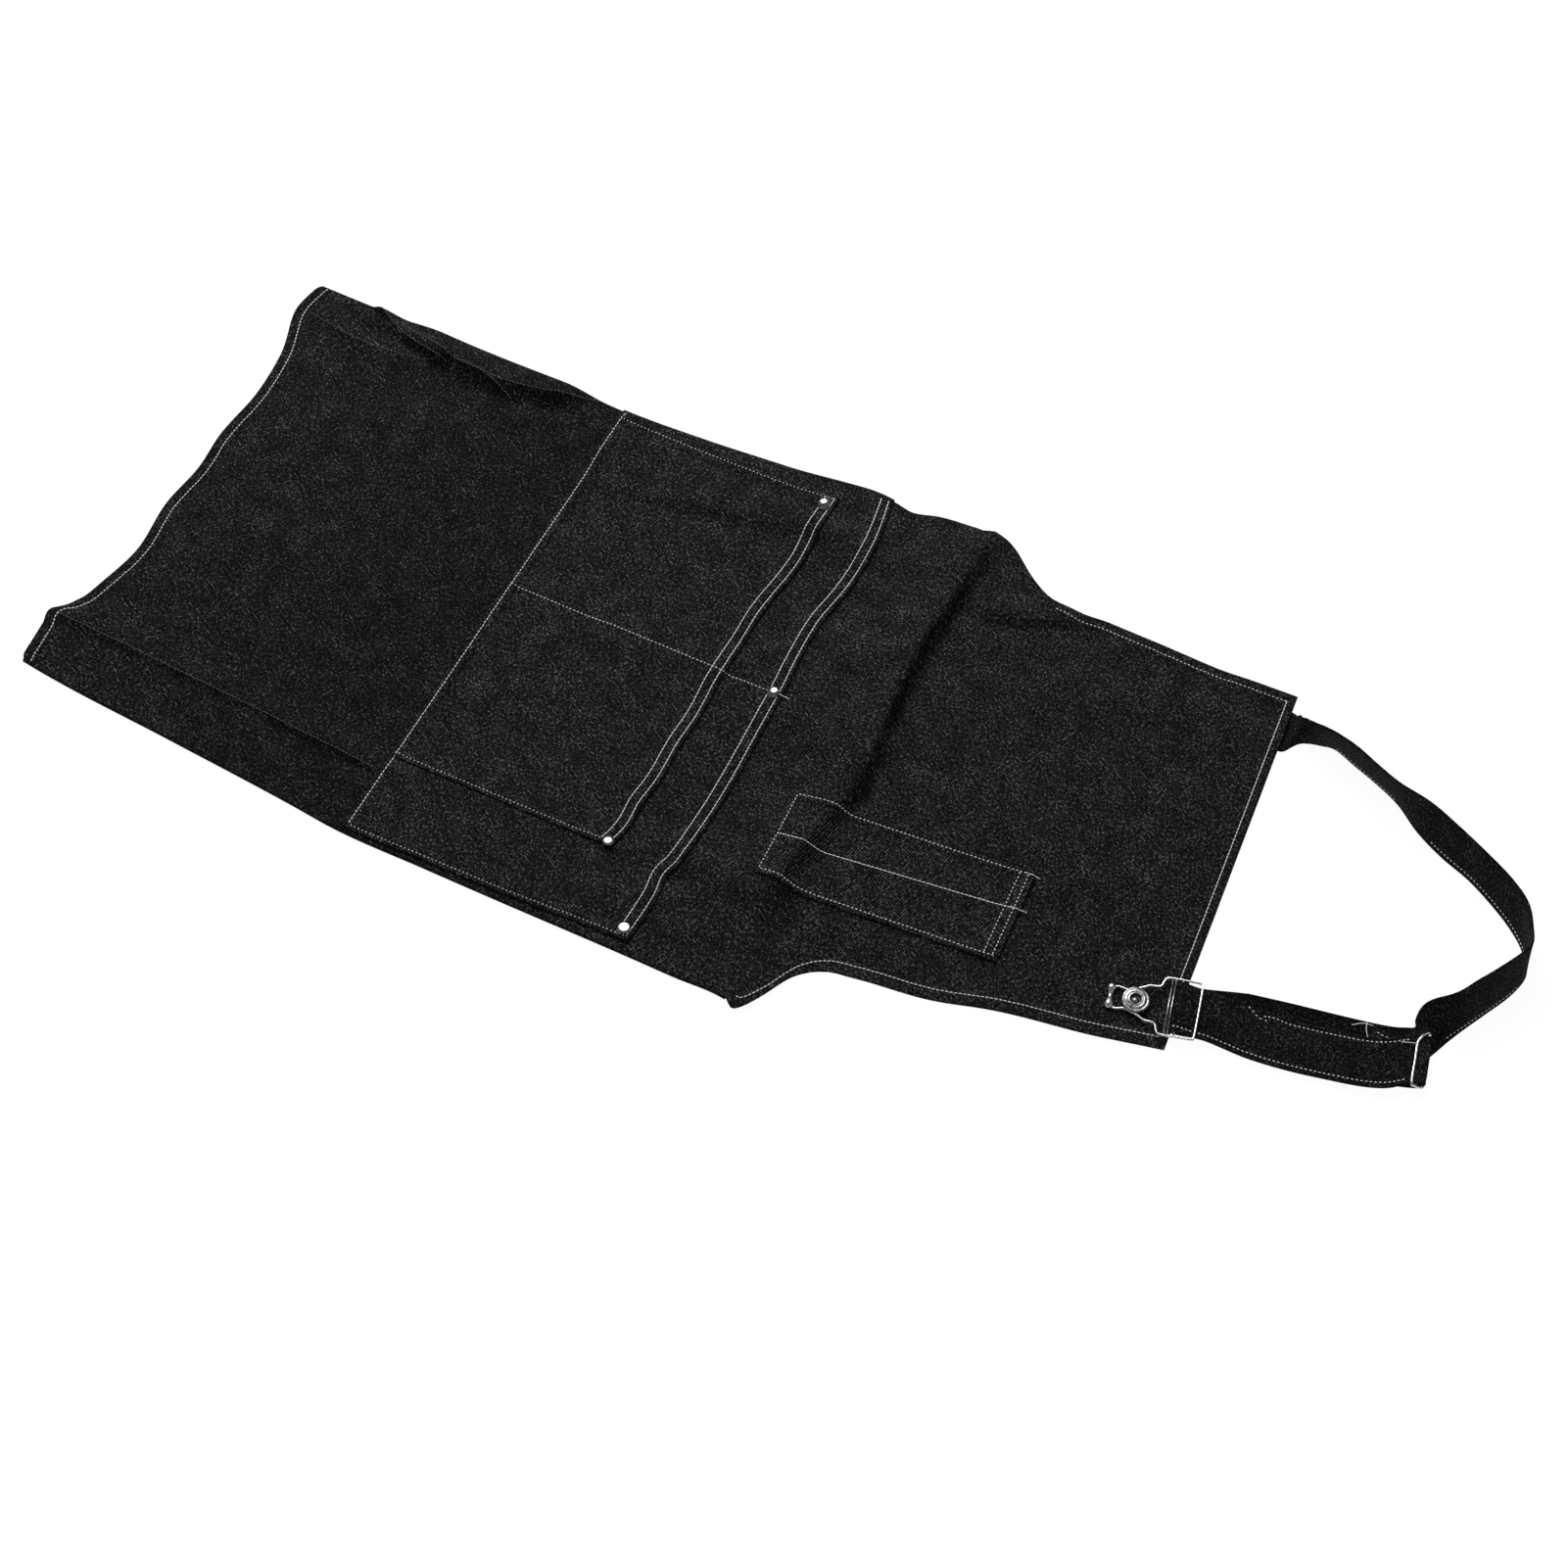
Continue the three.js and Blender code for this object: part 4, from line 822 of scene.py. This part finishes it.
def body_panel():
    u = body_rows()[:, None]
    near_edge, far_edge = OUTLINE.at("near", u), OUTLINE.at("far", u)
    near_folded, far_folded = (u <= end for end in FOLD_ENDS)
    base = far_base(u)
    near_roll = fold_radius(u, fold_top(u, near_edge) / 2, FOLD_ENDS[0])
    far_roll = fold_radius(u, (fold_top(u, far_edge) - base) / 2, FOLD_ENDS[1])
    near, far = near_edge + near_roll, far_edge - far_roll
    y = across(near, far, body_shares())
    x = row_x(u, y)
    ends = np.minimum(u - HEM, BIB_TOP - u)
    near_open = np.where(near_folded, BIB_TOP, y - near)
    sides = np.minimum(near_open, np.where(far_folded, BIB_TOP, far - y))
    along = np.where(ends < sides, y, u)
    top, bottom = skins(lift(u, x, y), np.minimum(ends, sides), HEM_TURN, along, BODY_GROOVE)
    near_flap = OUTLINE.at("near_flap", u) - near_roll
    far_flap = OUTLINE.at("far_flap", u) - far_roll
    near_side = fold_side(u, x[:, :1], near, near_roll, -1, near_roll, near_flap)
    far_side = fold_side(u, x[:, -1:], far, base + far_roll, 1, far_roll, far_flap)
    front = (stacked(x, y, top), stacked(x, y, bottom), y)
    face, back, cloth_y = (
        np.concatenate([first[:, ::-1], middle, last], 1)
        for first, middle, last in zip(near_side, front, far_side)
    )
    side_columns = len(FOLD_ANGLES) + len(FLAP_SHARES)
    keep = np.ones((len(u) - 1, face.shape[1] - 1), bool)
    keep[~near_folded[1:, 0], :side_columns] = False
    keep[~far_folded[1:, 0], -side_columns:] = False
    return shell("denim_body", face, back, stacked(u, cloth_y), DENIM, keep)


def large_near(u):
    """Y of the large pocket's near side."""
    return OUTLINE.at("near", u) + OUTLINE.at("large_inset", u)


def small_near(u):
    return OUTLINE.at("near", u) + SMALL_NEAR


def small_far(u):
    return OUTLINE.at("far", u) - OUTLINE.at("small_inset", u)


def pocket_skins(
    under, mouth, seams, seam_place, aside,
    turned=SEAM_TURN, gape_reach=GAPE_REACH, mouth_groove=MOUTH_GROOVE,
):
    """Top and bottom of a pocket on what lies under it, from the distances to its mouth and seams.

    The ripples follow seam_place along its seams and aside along its mouth.
    """
    low = under + GAP + MOUTH_GAPE * ease(1 - mouth / gape_reach)
    at_mouth = mouth < seams
    turned = np.where(at_mouth, MOUTH_TURN, turned)
    edge = np.where(at_mouth, aside, seam_place)
    top, bottom = skins(low, np.minimum(mouth, seams), turned, edge, EDGE_LINE)
    return top - groove(mouth, MOUTH_LINE, mouth_groove), bottom


def large_layer(u, y):
    """Top and bottom of the large pocket at a place."""
    under = lift(u, row_x(u, y), y) + CLOTH
    side = y - large_near(u)
    return pocket_skins(under, LARGE_TOP - u, np.minimum(u, side), np.where(u < side, y, u), y)


def large_pocket():
    u = graded(0.0, LARGE_TOP, POCKET_STEP)[:, None]
    edge, base = OUTLINE.at("far", u), far_base(u)
    roll = (fold_top(u, edge) - base) / 2
    far = edge - roll
    y = across(large_near(u), far, even_shares(LARGE_COLUMNS), False)
    x = row_x(u, y)
    top, bottom = large_layer(u, y)
    front = (stacked(x, y, top), stacked(x, y, bottom), y)
    side = fold_side(u, x[:, -1:], far, base + roll, 1, roll + GAP + CLOTH, LARGE_UNDER)
    face, back, cloth_y = (np.concatenate(pair, 1) for pair in zip(front, side))
    weave = stacked(u, cloth_y) + LARGE_CUT
    return shell("denim_large_pocket", face, back, weave, DENIM)


def small_pocket():
    u = graded(0.0, SMALL_TOP, POCKET_STEP)[:, None]
    near, far = small_near(u), small_far(u)
    y = across(near, far, even_shares(SMALL_COLUMNS))
    x = row_x(u, y)
    under = large_layer(u, y)[0]
    sides = np.minimum(y - near, far - y)
    seam_place = np.where(u <= sides, y, u)
    top, bottom = pocket_skins(under, SMALL_TOP - u, np.minimum(u, sides), seam_place, y)
    weave = stacked(u, y) + SMALL_CUT
    return shell("denim_small_pocket", stacked(x, y, top), stacked(x, y, bottom), weave, DENIM)


def pen_place(a, b):
    """Place in the laying frame of a point of the pen pocket: a along it, b across it, both 0 to 1."""
    slope = (PEN_MOUTH[1] - PEN_FOOT[1]) / (PEN_MOUTH[0] - PEN_FOOT[0])
    aside = (b - 0.5) * PEN_WIDTH
    foot_x = PEN_FOOT[0] - PEN_SLOPE[0] * aside
    mouth_x = PEN_MOUTH[0] - PEN_SLOPE[1] * aside
    x = mix(foot_x, mouth_x, a)
    return x, PEN_FOOT[1] + slope * (x - PEN_FOOT[0]) + aside


def pen_pocket():
    length = PEN_MOUTH[0] - PEN_FOOT[0]
    a = graded(0.0, length, PEN_STEP)[:, None] / length
    b = graded(0.0, PEN_WIDTH, PEN_STEP)[None] / PEN_WIDTH
    x, y = pen_place(a, b)
    under = lift(row_at(x, y), x, y) + CLOTH
    mouth, along, aside = (1 - a) * length, a * length, b * PEN_WIDTH
    sides = np.minimum(b, 1 - b) * PEN_WIDTH
    seams, seam_place = np.minimum(along, sides), np.where(along <= sides, aside, along)
    top, bottom = pocket_skins(under, mouth, seams, seam_place, aside, PEN_TURN, PEN_GAPE_REACH, 0.0)
    weave = stacked(along, aside) + PEN_CUT
    return shell("denim_pen_pocket", stacked(x, y, top), stacked(x, y, bottom), weave, CROSS_DENIM)


# Strap


def left_of(heading):
    turn = np.radians(heading)
    return np.stack([-np.sin(turn), np.cos(turn), 0 * turn], -1)


BUCKLE_SIDE = left_of(BUCKLE_TURN)
BUCKLE_AXIS = left_of(BUCKLE_TURN - 90)
SLIDER_SIDE = left_of(SLIDER_TURN)
SLIDER_AHEAD = left_of(SLIDER_TURN - 90)


def buckle_point(a, b, z):
    return BUTTON + BUCKLE_AXIS * a + BUCKLE_SIDE * b + UP * z


def buckle_wire_point(a, b):
    """Place at the height of the buckle's wire."""
    tip, end, start, length = BUCKLE_RISE
    return buckle_point(a, b, mix(tip, end, (a - start) / length))


def slider_point(a, b, z):
    return np.array([*SLIDER, z]) + SLIDER_AHEAD * a + SLIDER_SIDE * b


def bar_turn(centre, ahead, start, end):
    """Middles of the strap on its half turn round a bar."""
    radius = WIRE + GAP + STRAP_THICK / 2
    angle = np.radians(np.linspace(start, end, TURN_STEPS))[:, None]
    return centre + radius * (np.cos(angle) * ahead + np.sin(angle) * UP)


def strap_stations():
    """Middle of the strap and the vector across it, from the bib to its free end."""
    path = catmull(STRAP_RUN, RUN_STEPS)
    lean = np.radians(np.clip(path[:, 3:4], 0, 180))
    over = (left_of(path[:, 2]) * np.cos(lean) + UP * np.sin(lean)) * path[:, 4:5]
    sole = GAP + STRAP_THICK / 2 * np.abs(np.cos(lean))
    run = np.concatenate([path[:, :2], sole], 1) + over / 2

    def flat(rows):
        return [(np.array([x, y, z]), left_of(turn)) for x, y, z, turn in rows]

    way = [(buckle_point(*row), BUCKLE_SIDE) for row in BUCKLE_WAY_IN]
    turn = bar_turn(buckle_wire_point(BUCKLE_BARS[-1], 0), BUCKLE_AXIS, -90, -270)
    way += [(middle, BUCKLE_SIDE) for middle in turn]
    way += [(buckle_point(*row), BUCKLE_SIDE) for row in BUCKLE_WAY_OUT]
    way += flat(STRAP_BACK)
    beneath = SLIDER_HIGH - WIRE - GAP - STRAP_THICK / 2
    way.append((slider_point(SLIDER_ENTRY, 0, beneath), SLIDER_SIDE))
    fold = bar_turn(slider_point(SLIDER_SPACING, 0, SLIDER_LOW), SLIDER_AHEAD, 90, -90)
    narrow = 1 - FOLD_NARROWS * np.sin(np.linspace(0, math.pi, TURN_STEPS))
    way += [(middle, SLIDER_SIDE * share) for middle, share in zip(fold, narrow)]
    way += flat(STRAP_END)
    rest = catmull([run[-1]] + [middle for middle, _ in way], REST_STEPS)[1:]
    rest_over = catmull([over[-1]] + [side * STRAP_WIDTH for _, side in way], REST_STEPS)[1:]
    return np.concatenate([run, rest]), np.concatenate([over, rest_over])


def run_station(row):
    return round(row * RUN_STEPS)


def rest_station(row):
    return (len(STRAP_RUN) - 1) * RUN_STEPS + row * REST_STEPS


def strap_frames():
    """Middle of the strap, the vectors across it and out of its face, and the length to there."""
    middle, over = strap_stations()
    up = unit(np.cross(np.gradient(middle, axis=0), over))
    return middle, over, up, lengths(middle)


def neck_strap():
    middle, over, up, length = strap_frames()
    places = np.concatenate([STRAP_EDGE_STEPS, [STRAP_WIDTH / 2], STRAP_WIDTH - STRAP_EDGE_STEPS[::-1]])
    distance = np.minimum(places, STRAP_WIDTH - places)
    half = STRAP_THICK / 2 * rounded(distance / STRAP_EDGE)
    half = half - groove(distance, STRAP_STITCH, STRAP_GROOVE, STRAP_GROOVE_WIDTH)
    half = np.maximum(half, STRAP_RIM)
    shares = places / STRAP_WIDTH - 0.5
    line = middle[:, None] + over[:, None] * shares[None, :, None]
    upper = slice(*(rest_station(row) for row in UPPER_LAYER))
    line[upper, :, 2] += ridge_heights(line[upper, :, 0], line[upper, :, 1], STRAP_CREASES)
    offset = up[:, None] * half[None, :, None]
    weave = stacked(length[:, None] + STRAP_CUT, places[None])
    item = shell("denim_strap", line + offset, line - offset, weave, STRAP_DENIM)
    # Painted shade: the lower layer's faces beneath the upper one take the darker copy of the strap's
    # denim
    item.data.materials.append(SHADOWED_STRAP_DENIM)
    columns = len(places) - 1
    skin = len(middle) - 1
    first, last = skin + run_station(LOWER_LAYER[0]), skin + rest_station(LOWER_LAYER[1])
    for face in item.data.polygons[first * columns:last * columns]:
        face.material_index = 1
    return item


# Metal


def rivet(node, dx, dy, rise_x, rise_y, dome):
    """Domed head whose rim leans by its rises per mm; dome scales its height."""
    low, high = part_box(node)
    centre = (np.array((low + high) / 2) - SHIFT) / MM + np.array([dx, dy, 0.0])
    centre[2] = high.z / MM - RIVET_HEAD[-1][1]
    profile = [(radius, height * dome if height > 0 else height) for radius, height in RIVET_HEAD]
    points, faces = lathe_parts(profile, RIVET_SIDES, centre)
    points[:, 2] += (points[:, 0] - centre[0]) * rise_x + (points[:, 1] - centre[1]) * rise_y
    item = new_object("nickel_" + node, points, faces, RIVET_NICKEL)
    return dress(item, [node])


def bib_button():
    """Ringed tack button with a hollow round its post, painted near black as shade."""
    centre = BUTTON.copy()
    centre[2] = button_high.z / MM - BUTTON_RISE
    points, faces = lathe_parts(BUTTON_HEAD, BUTTON_SIDES, centre)
    item = new_object("nickel_button", points, faces, WORN_NICKEL)
    item.data.materials.append(HOLLOW_SHADE_NICKEL)
    middle = Vector(place(centre))
    # The faces in the hollow take the near-black nickel: painted shade
    for face in item.data.polygons:
        radius = (face.center - middle).xy.length / MM
        face.material_index = int(HOLLOW[0] < radius < HOLLOW[1])
    return dress(item, ["bib_button"])


def bib_buckle():
    roll = catmull(BUCKLE_TIP, TIP_STEPS)
    spine = [buckle_wire_point(BUCKLE_TIP_AT, b) for b in roll[:, 0]]
    tip = tube_parts(spine, roll[:, 1], TIP_SIDES)
    dress(new_object("nickel_buckle_tip", *tip, NICKEL))
    bars = []
    for a in BUCKLE_BARS:
        ends = [buckle_wire_point(a, b) for b in (-BUCKLE_BAR_HALF, 0, BUCKLE_BAR_HALF)]
        bars.append(tube_parts(ends, BAR, WIRE_SIDES))
    dress(new_object("nickel_buckle_bars", *join_parts(bars), WORN_NICKEL))
    path = [buckle_wire_point(a, b) for a, b in BUCKLE_WIRE]
    path += [buckle_wire_point(a, -b) for a, b in reversed(BUCKLE_WIRE)]
    wire = tube_parts(catmull(path, WIRE_STEPS), BUCKLE_GAUGE, WIRE_SIDES)
    return dress(new_object("nickel_buckle", *wire, NICKEL), ["bib_buckle"])


def strap_slider():
    path = [slider_point(*row) for row in SLIDER_WIRE]
    wire = tube_parts(catmull(path, WIRE_STEPS, True), WIRE, WIRE_SIDES, True)
    return dress(new_object("nickel_slider", *wire, NICKEL), ["strap_slider"])


# Stitches


def stitches(path, normals, fill):
    """Points and faces of stitches along a path on the cloth; fill is the share that shows thread."""
    length = lengths(path)
    count = max(1, int(length[-1] // PITCH))
    centres = (np.arange(count) + 0.5) * length[-1] / count
    half = PITCH * fill / 2

    def along(values, at):
        return np.stack([np.interp(at, length, column) for column in values.T], -1)

    start, end = along(path, centres - half), along(path, centres + half)
    normal = unit(along(normals, centres))
    ahead = end - start
    ring = circles(unit(np.cross(ahead, normal)), normal, THREAD_SIDES)
    spine = ((start + end) / 2)[:, None] + ahead[:, None] * STITCH_RINGS[None, :, None]
    spine = spine + normal[:, None] * (STITCH_HEIGHT * THREAD)[None, :, None]
    points = spine[:, :, None] + (STITCH_RADIUS * THREAD)[None, :, None, None] * ring[:, None]
    size = (len(STITCH_RINGS), THREAD_SIDES)
    faces = ring_quads(*size) + ring_caps(*size)
    return join_parts((stitch.reshape(-1, 3), faces) for stitch in points)


class Surface:
    """The topmost cloth at any place, from finished pieces."""

    def __init__(self, items):
        meshes = [item.data for item in items]
        parts = [([v.co for v in m.vertices], [f.vertices for f in m.polygons]) for m in meshes]
        points, faces = join_parts(parts)
        self.tree = BVHTree.FromPolygons(points.tolist(), faces)

    def drop(self, x, y):
        """Points and normals of the cloth's top under places of the laying frame."""
        found, normals = [], []
        for px, py in zip(x, y):
            start = Vector(place([px, py, ABOVE]))
            hit, normal, _, _ = self.tree.ray_cast(start, Vector((0, 0, -1)))
            if hit is not None:
                found.append((np.array(hit) - SHIFT) / MM)
                normals.append(np.array(normal))
        return np.array(found), np.array(normals)


def sewn(name, surface, lines):
    """One piece of thread from lines of places on the cloth, each with its fill."""
    parts = [stitches(*surface.drop(x, y), fill) for x, y, fill in lines]
    return dress(new_object(name, *join_parts(parts), COTTON))


def row_line(u, low, high, fill=CLOSE):
    """Line across the cloth, along a row."""
    y = np.arange(low, high, LINE_STEP)
    return row_x(u, y), y, fill


def column_line(start, end, side, fill):
    """Line from row to row, at the Y that side gives for each."""
    u = np.arange(start, end, LINE_STEP)
    y = side(u)
    return row_x(u, y), y, fill


def body_lines():
    yield row_line(HEM + HEM_LINE[0], *HEM_LINE[1:], SPACED)
    yield row_line(BIB_TOP - BIB_TOP_LINE[0], *BIB_TOP_LINE[1:])
    yield column_line(*NEAR_BIB_LINE[1:], lambda u: OUTLINE.at("near", u) + NEAR_BIB_LINE[0], SPACED)
    yield column_line(*FAR_BIB_LINE[1:], lambda u: OUTLINE.at("far", u) - FAR_BIB_LINE[0], OPEN)


def large_lines():
    for inset in (EDGE_LINE, MOUTH_LINE):
        yield row_line(LARGE_TOP - inset, *LARGE_MOUTH_ENDS)
    yield row_line(EDGE_LINE, *LARGE_FOOT_ENDS, SPACED)
    foot, mouth = SIDE_LINE_ENDS
    yield column_line(foot, LARGE_TOP - mouth, lambda u: large_near(u) + EDGE_LINE, SUNK)


def small_lines():
    near, far = small_near(SMALL_TOP), small_far(SMALL_TOP)
    for inset in (EDGE_LINE, MOUTH_LINE):
        yield row_line(SMALL_TOP - inset, near + EDGE_LINE, far - SMALL_MOUTH_SLANT * inset)
    foot, mouth = SIDE_LINE_ENDS
    yield column_line(foot, SMALL_TOP - mouth, lambda u: small_near(u) + EDGE_LINE, SUNK)
    yield column_line(foot, SMALL_TOP - mouth, lambda u: small_far(u) - EDGE_LINE, SUNK)
    yield column_line(*CENTRE_ENDS, lambda u: mix(*CENTRE_LINE, u / LARGE_TOP), OPEN)


def pen_lines():
    a = np.linspace(*PEN_LINE_ENDS, PEN_POINTS)
    yield *pen_place(a, mix(*PEN_CENTRE, a)), CLOSE
    for b in PEN_SIDE_LINES:
        yield *pen_place(a, b), OPEN
    b = np.linspace(*PEN_SIDE_LINES, PEN_CROSS_POINTS)
    for at in PEN_CROSS_LINES:
        yield *pen_place(at, b), OPEN


def flap_ripples(surface):
    """Ripples where the hems of the folded flaps press through the cloth, and along sharp folds, in a
    paler yarn that stands for wear and for painted highlights on their crests.
    """
    t = np.linspace(*RIPPLE_ENDS, RIPPLE_POINTS)
    parts = []
    for x0, y0, x1, y1, bow, *_ in RIDGES[:RIPPLED]:
        y = mix(y0, y1, t) + bow * np.sin(math.pi * t)
        parts.append(stitches(*surface.drop(mix(x0, x1, t), y), RIPPLE_FILL))
    return dress(new_object("denim_flap_ripples", *join_parts(parts), WORN_AND_HIGHLIT_DENIM))


def strap_stitches(strap):
    middle, over, up, _ = strap_frames()
    parts = []
    lines = [(run_station, line) for line in RUN_LINES] + [(rest_station, line) for line in REST_LINES]
    for station, (edge, inset, side, *rows) in lines:
        first, last = map(station, rows)
        share = edge * (0.5 - inset / STRAP_WIDTH)
        path = middle + over * share + up * side * (STRAP_THICK / 2 - STRAP_GROOVE)
        path[:, 2] += ridge_heights(path[:, 0], path[:, 1], STRAP_CREASES)
        parts.append(stitches(path[first:last], up[first:last] * side, OPEN))
    fold = catmull(STRAP_FOLD, THREAD_STEPS)
    parts.append(stitches(*Surface([strap]).drop(*fold.T), OPEN))
    return dress(new_object("thread_strap", *join_parts(parts), COTTON))


def loose_ends(surface):
    parts = []
    for tail in [CENTRE_TAIL] + [[pen_place(*share) for share in tail] for tail in PEN_TAILS]:
        path, normals = surface.drop(*catmull(tail, THREAD_STEPS).T)
        path[:, 2] = np.maximum(path[:, 2], path[0, 2] - SAG * np.arange(len(path)))
        parts.append(tube_parts(path + normals * TAIL, TAIL, THREAD_SIDES))
    for tail in SLIDER_TAILS:
        parts.append(tube_parts(catmull(tail, THREAD_STEPS), TAIL, THREAD_SIDES))
    return dress(new_object("thread_loose_ends", *join_parts(parts), COTTON))


# Stage


def add_floor():
    material = Nodes("pale_floor").shade(
        Base_Color=(FLOOR_GREY, FLOOR_GREY, FLOOR_GREY, 1), Roughness=0.9, Specular_IOR_Level=0.0,
        Emission_Color=(1, 1, 1, 1), Emission_Strength=FLOOR_GLOW,
    )
    signs = [(-1, -1), (1, -1), (1, 1), (-1, 1)]
    corners = [(x * FLOOR_HALF, y * FLOOR_HALF, FLOOR_Z) for x, y in signs]
    new_object("pale_floor", corners, [[0, 1, 2, 3]], material)


def add_aimed(name, data, spot, azimuth, elevation, distance):
    """Object that faces a spot from a distance in metres; azimuth is counted from +X toward +Y."""
    a, e = math.radians(azimuth), math.radians(elevation)
    away = Vector((math.cos(a) * math.cos(e), math.sin(a) * math.cos(e), math.sin(e)))
    item = bpy.data.objects.new(name, data)
    item.location = Vector(spot) + away * distance
    item.rotation_euler = away.to_track_quat("Z", "Y").to_euler()
    bpy.context.scene.collection.objects.link(item)
    return item


def add_key_light():
    """Soft light from beyond the far side of the skirt."""
    light = bpy.data.lights.new("key", "AREA")
    light.shape = "DISK"
    light.size = 2.0
    light.energy = 74.0
    add_aimed("key", light, (0, 0, 0), azimuth=132.0, elevation=50.0, distance=2.6)


def add_world():
    world = bpy.data.worlds.new("studio")
    world.use_nodes = True
    world.node_tree.nodes["Background"].inputs["Color"].default_value = (1, 1, 1, 1)
    world.node_tree.nodes["Background"].inputs["Strength"].default_value = SKY_STRENGTH
    bpy.context.scene.world = world


def add_camera():
    camera = bpy.data.cameras.new("camera")
    camera.lens = LENS
    camera.sensor_width = SENSOR
    camera.clip_start, camera.clip_end = CLIP
    spot = place(LOOK_AT)
    item = add_aimed("camera", camera, spot, AZIMUTH, ELEVATION, CAMERA_DISTANCE * MM)
    bpy.context.scene.camera = item


add_camera()
add_world()
add_floor()
add_key_light()
bpy.context.scene.view_settings.view_transform = "Standard"

body = dress(body_panel(), ["body_panel"])
large = dress(large_pocket(), ["large_pocket"])
small = dress(small_pocket(), ["small_pocket"])
pen = dress(pen_pocket(), ["pen_pocket"])
strap = dress(neck_strap(), ["neck_strap"])

cloth = Surface([body, large, small, pen])
ripples = flap_ripples(cloth)
thread_body = sewn("thread_body", cloth, body_lines())
thread_large = sewn("thread_large_pocket", cloth, large_lines())
thread_small = sewn("thread_small_pocket", cloth, small_lines())
thread_pen = sewn("thread_pen_pocket", cloth, pen_lines())
thread_strap = strap_stitches(strap)
loose_ends(cloth)

for node, *form in RIVETS:
    rivet(node, *form)
bib_button()
bib_buckle()
strap_slider()
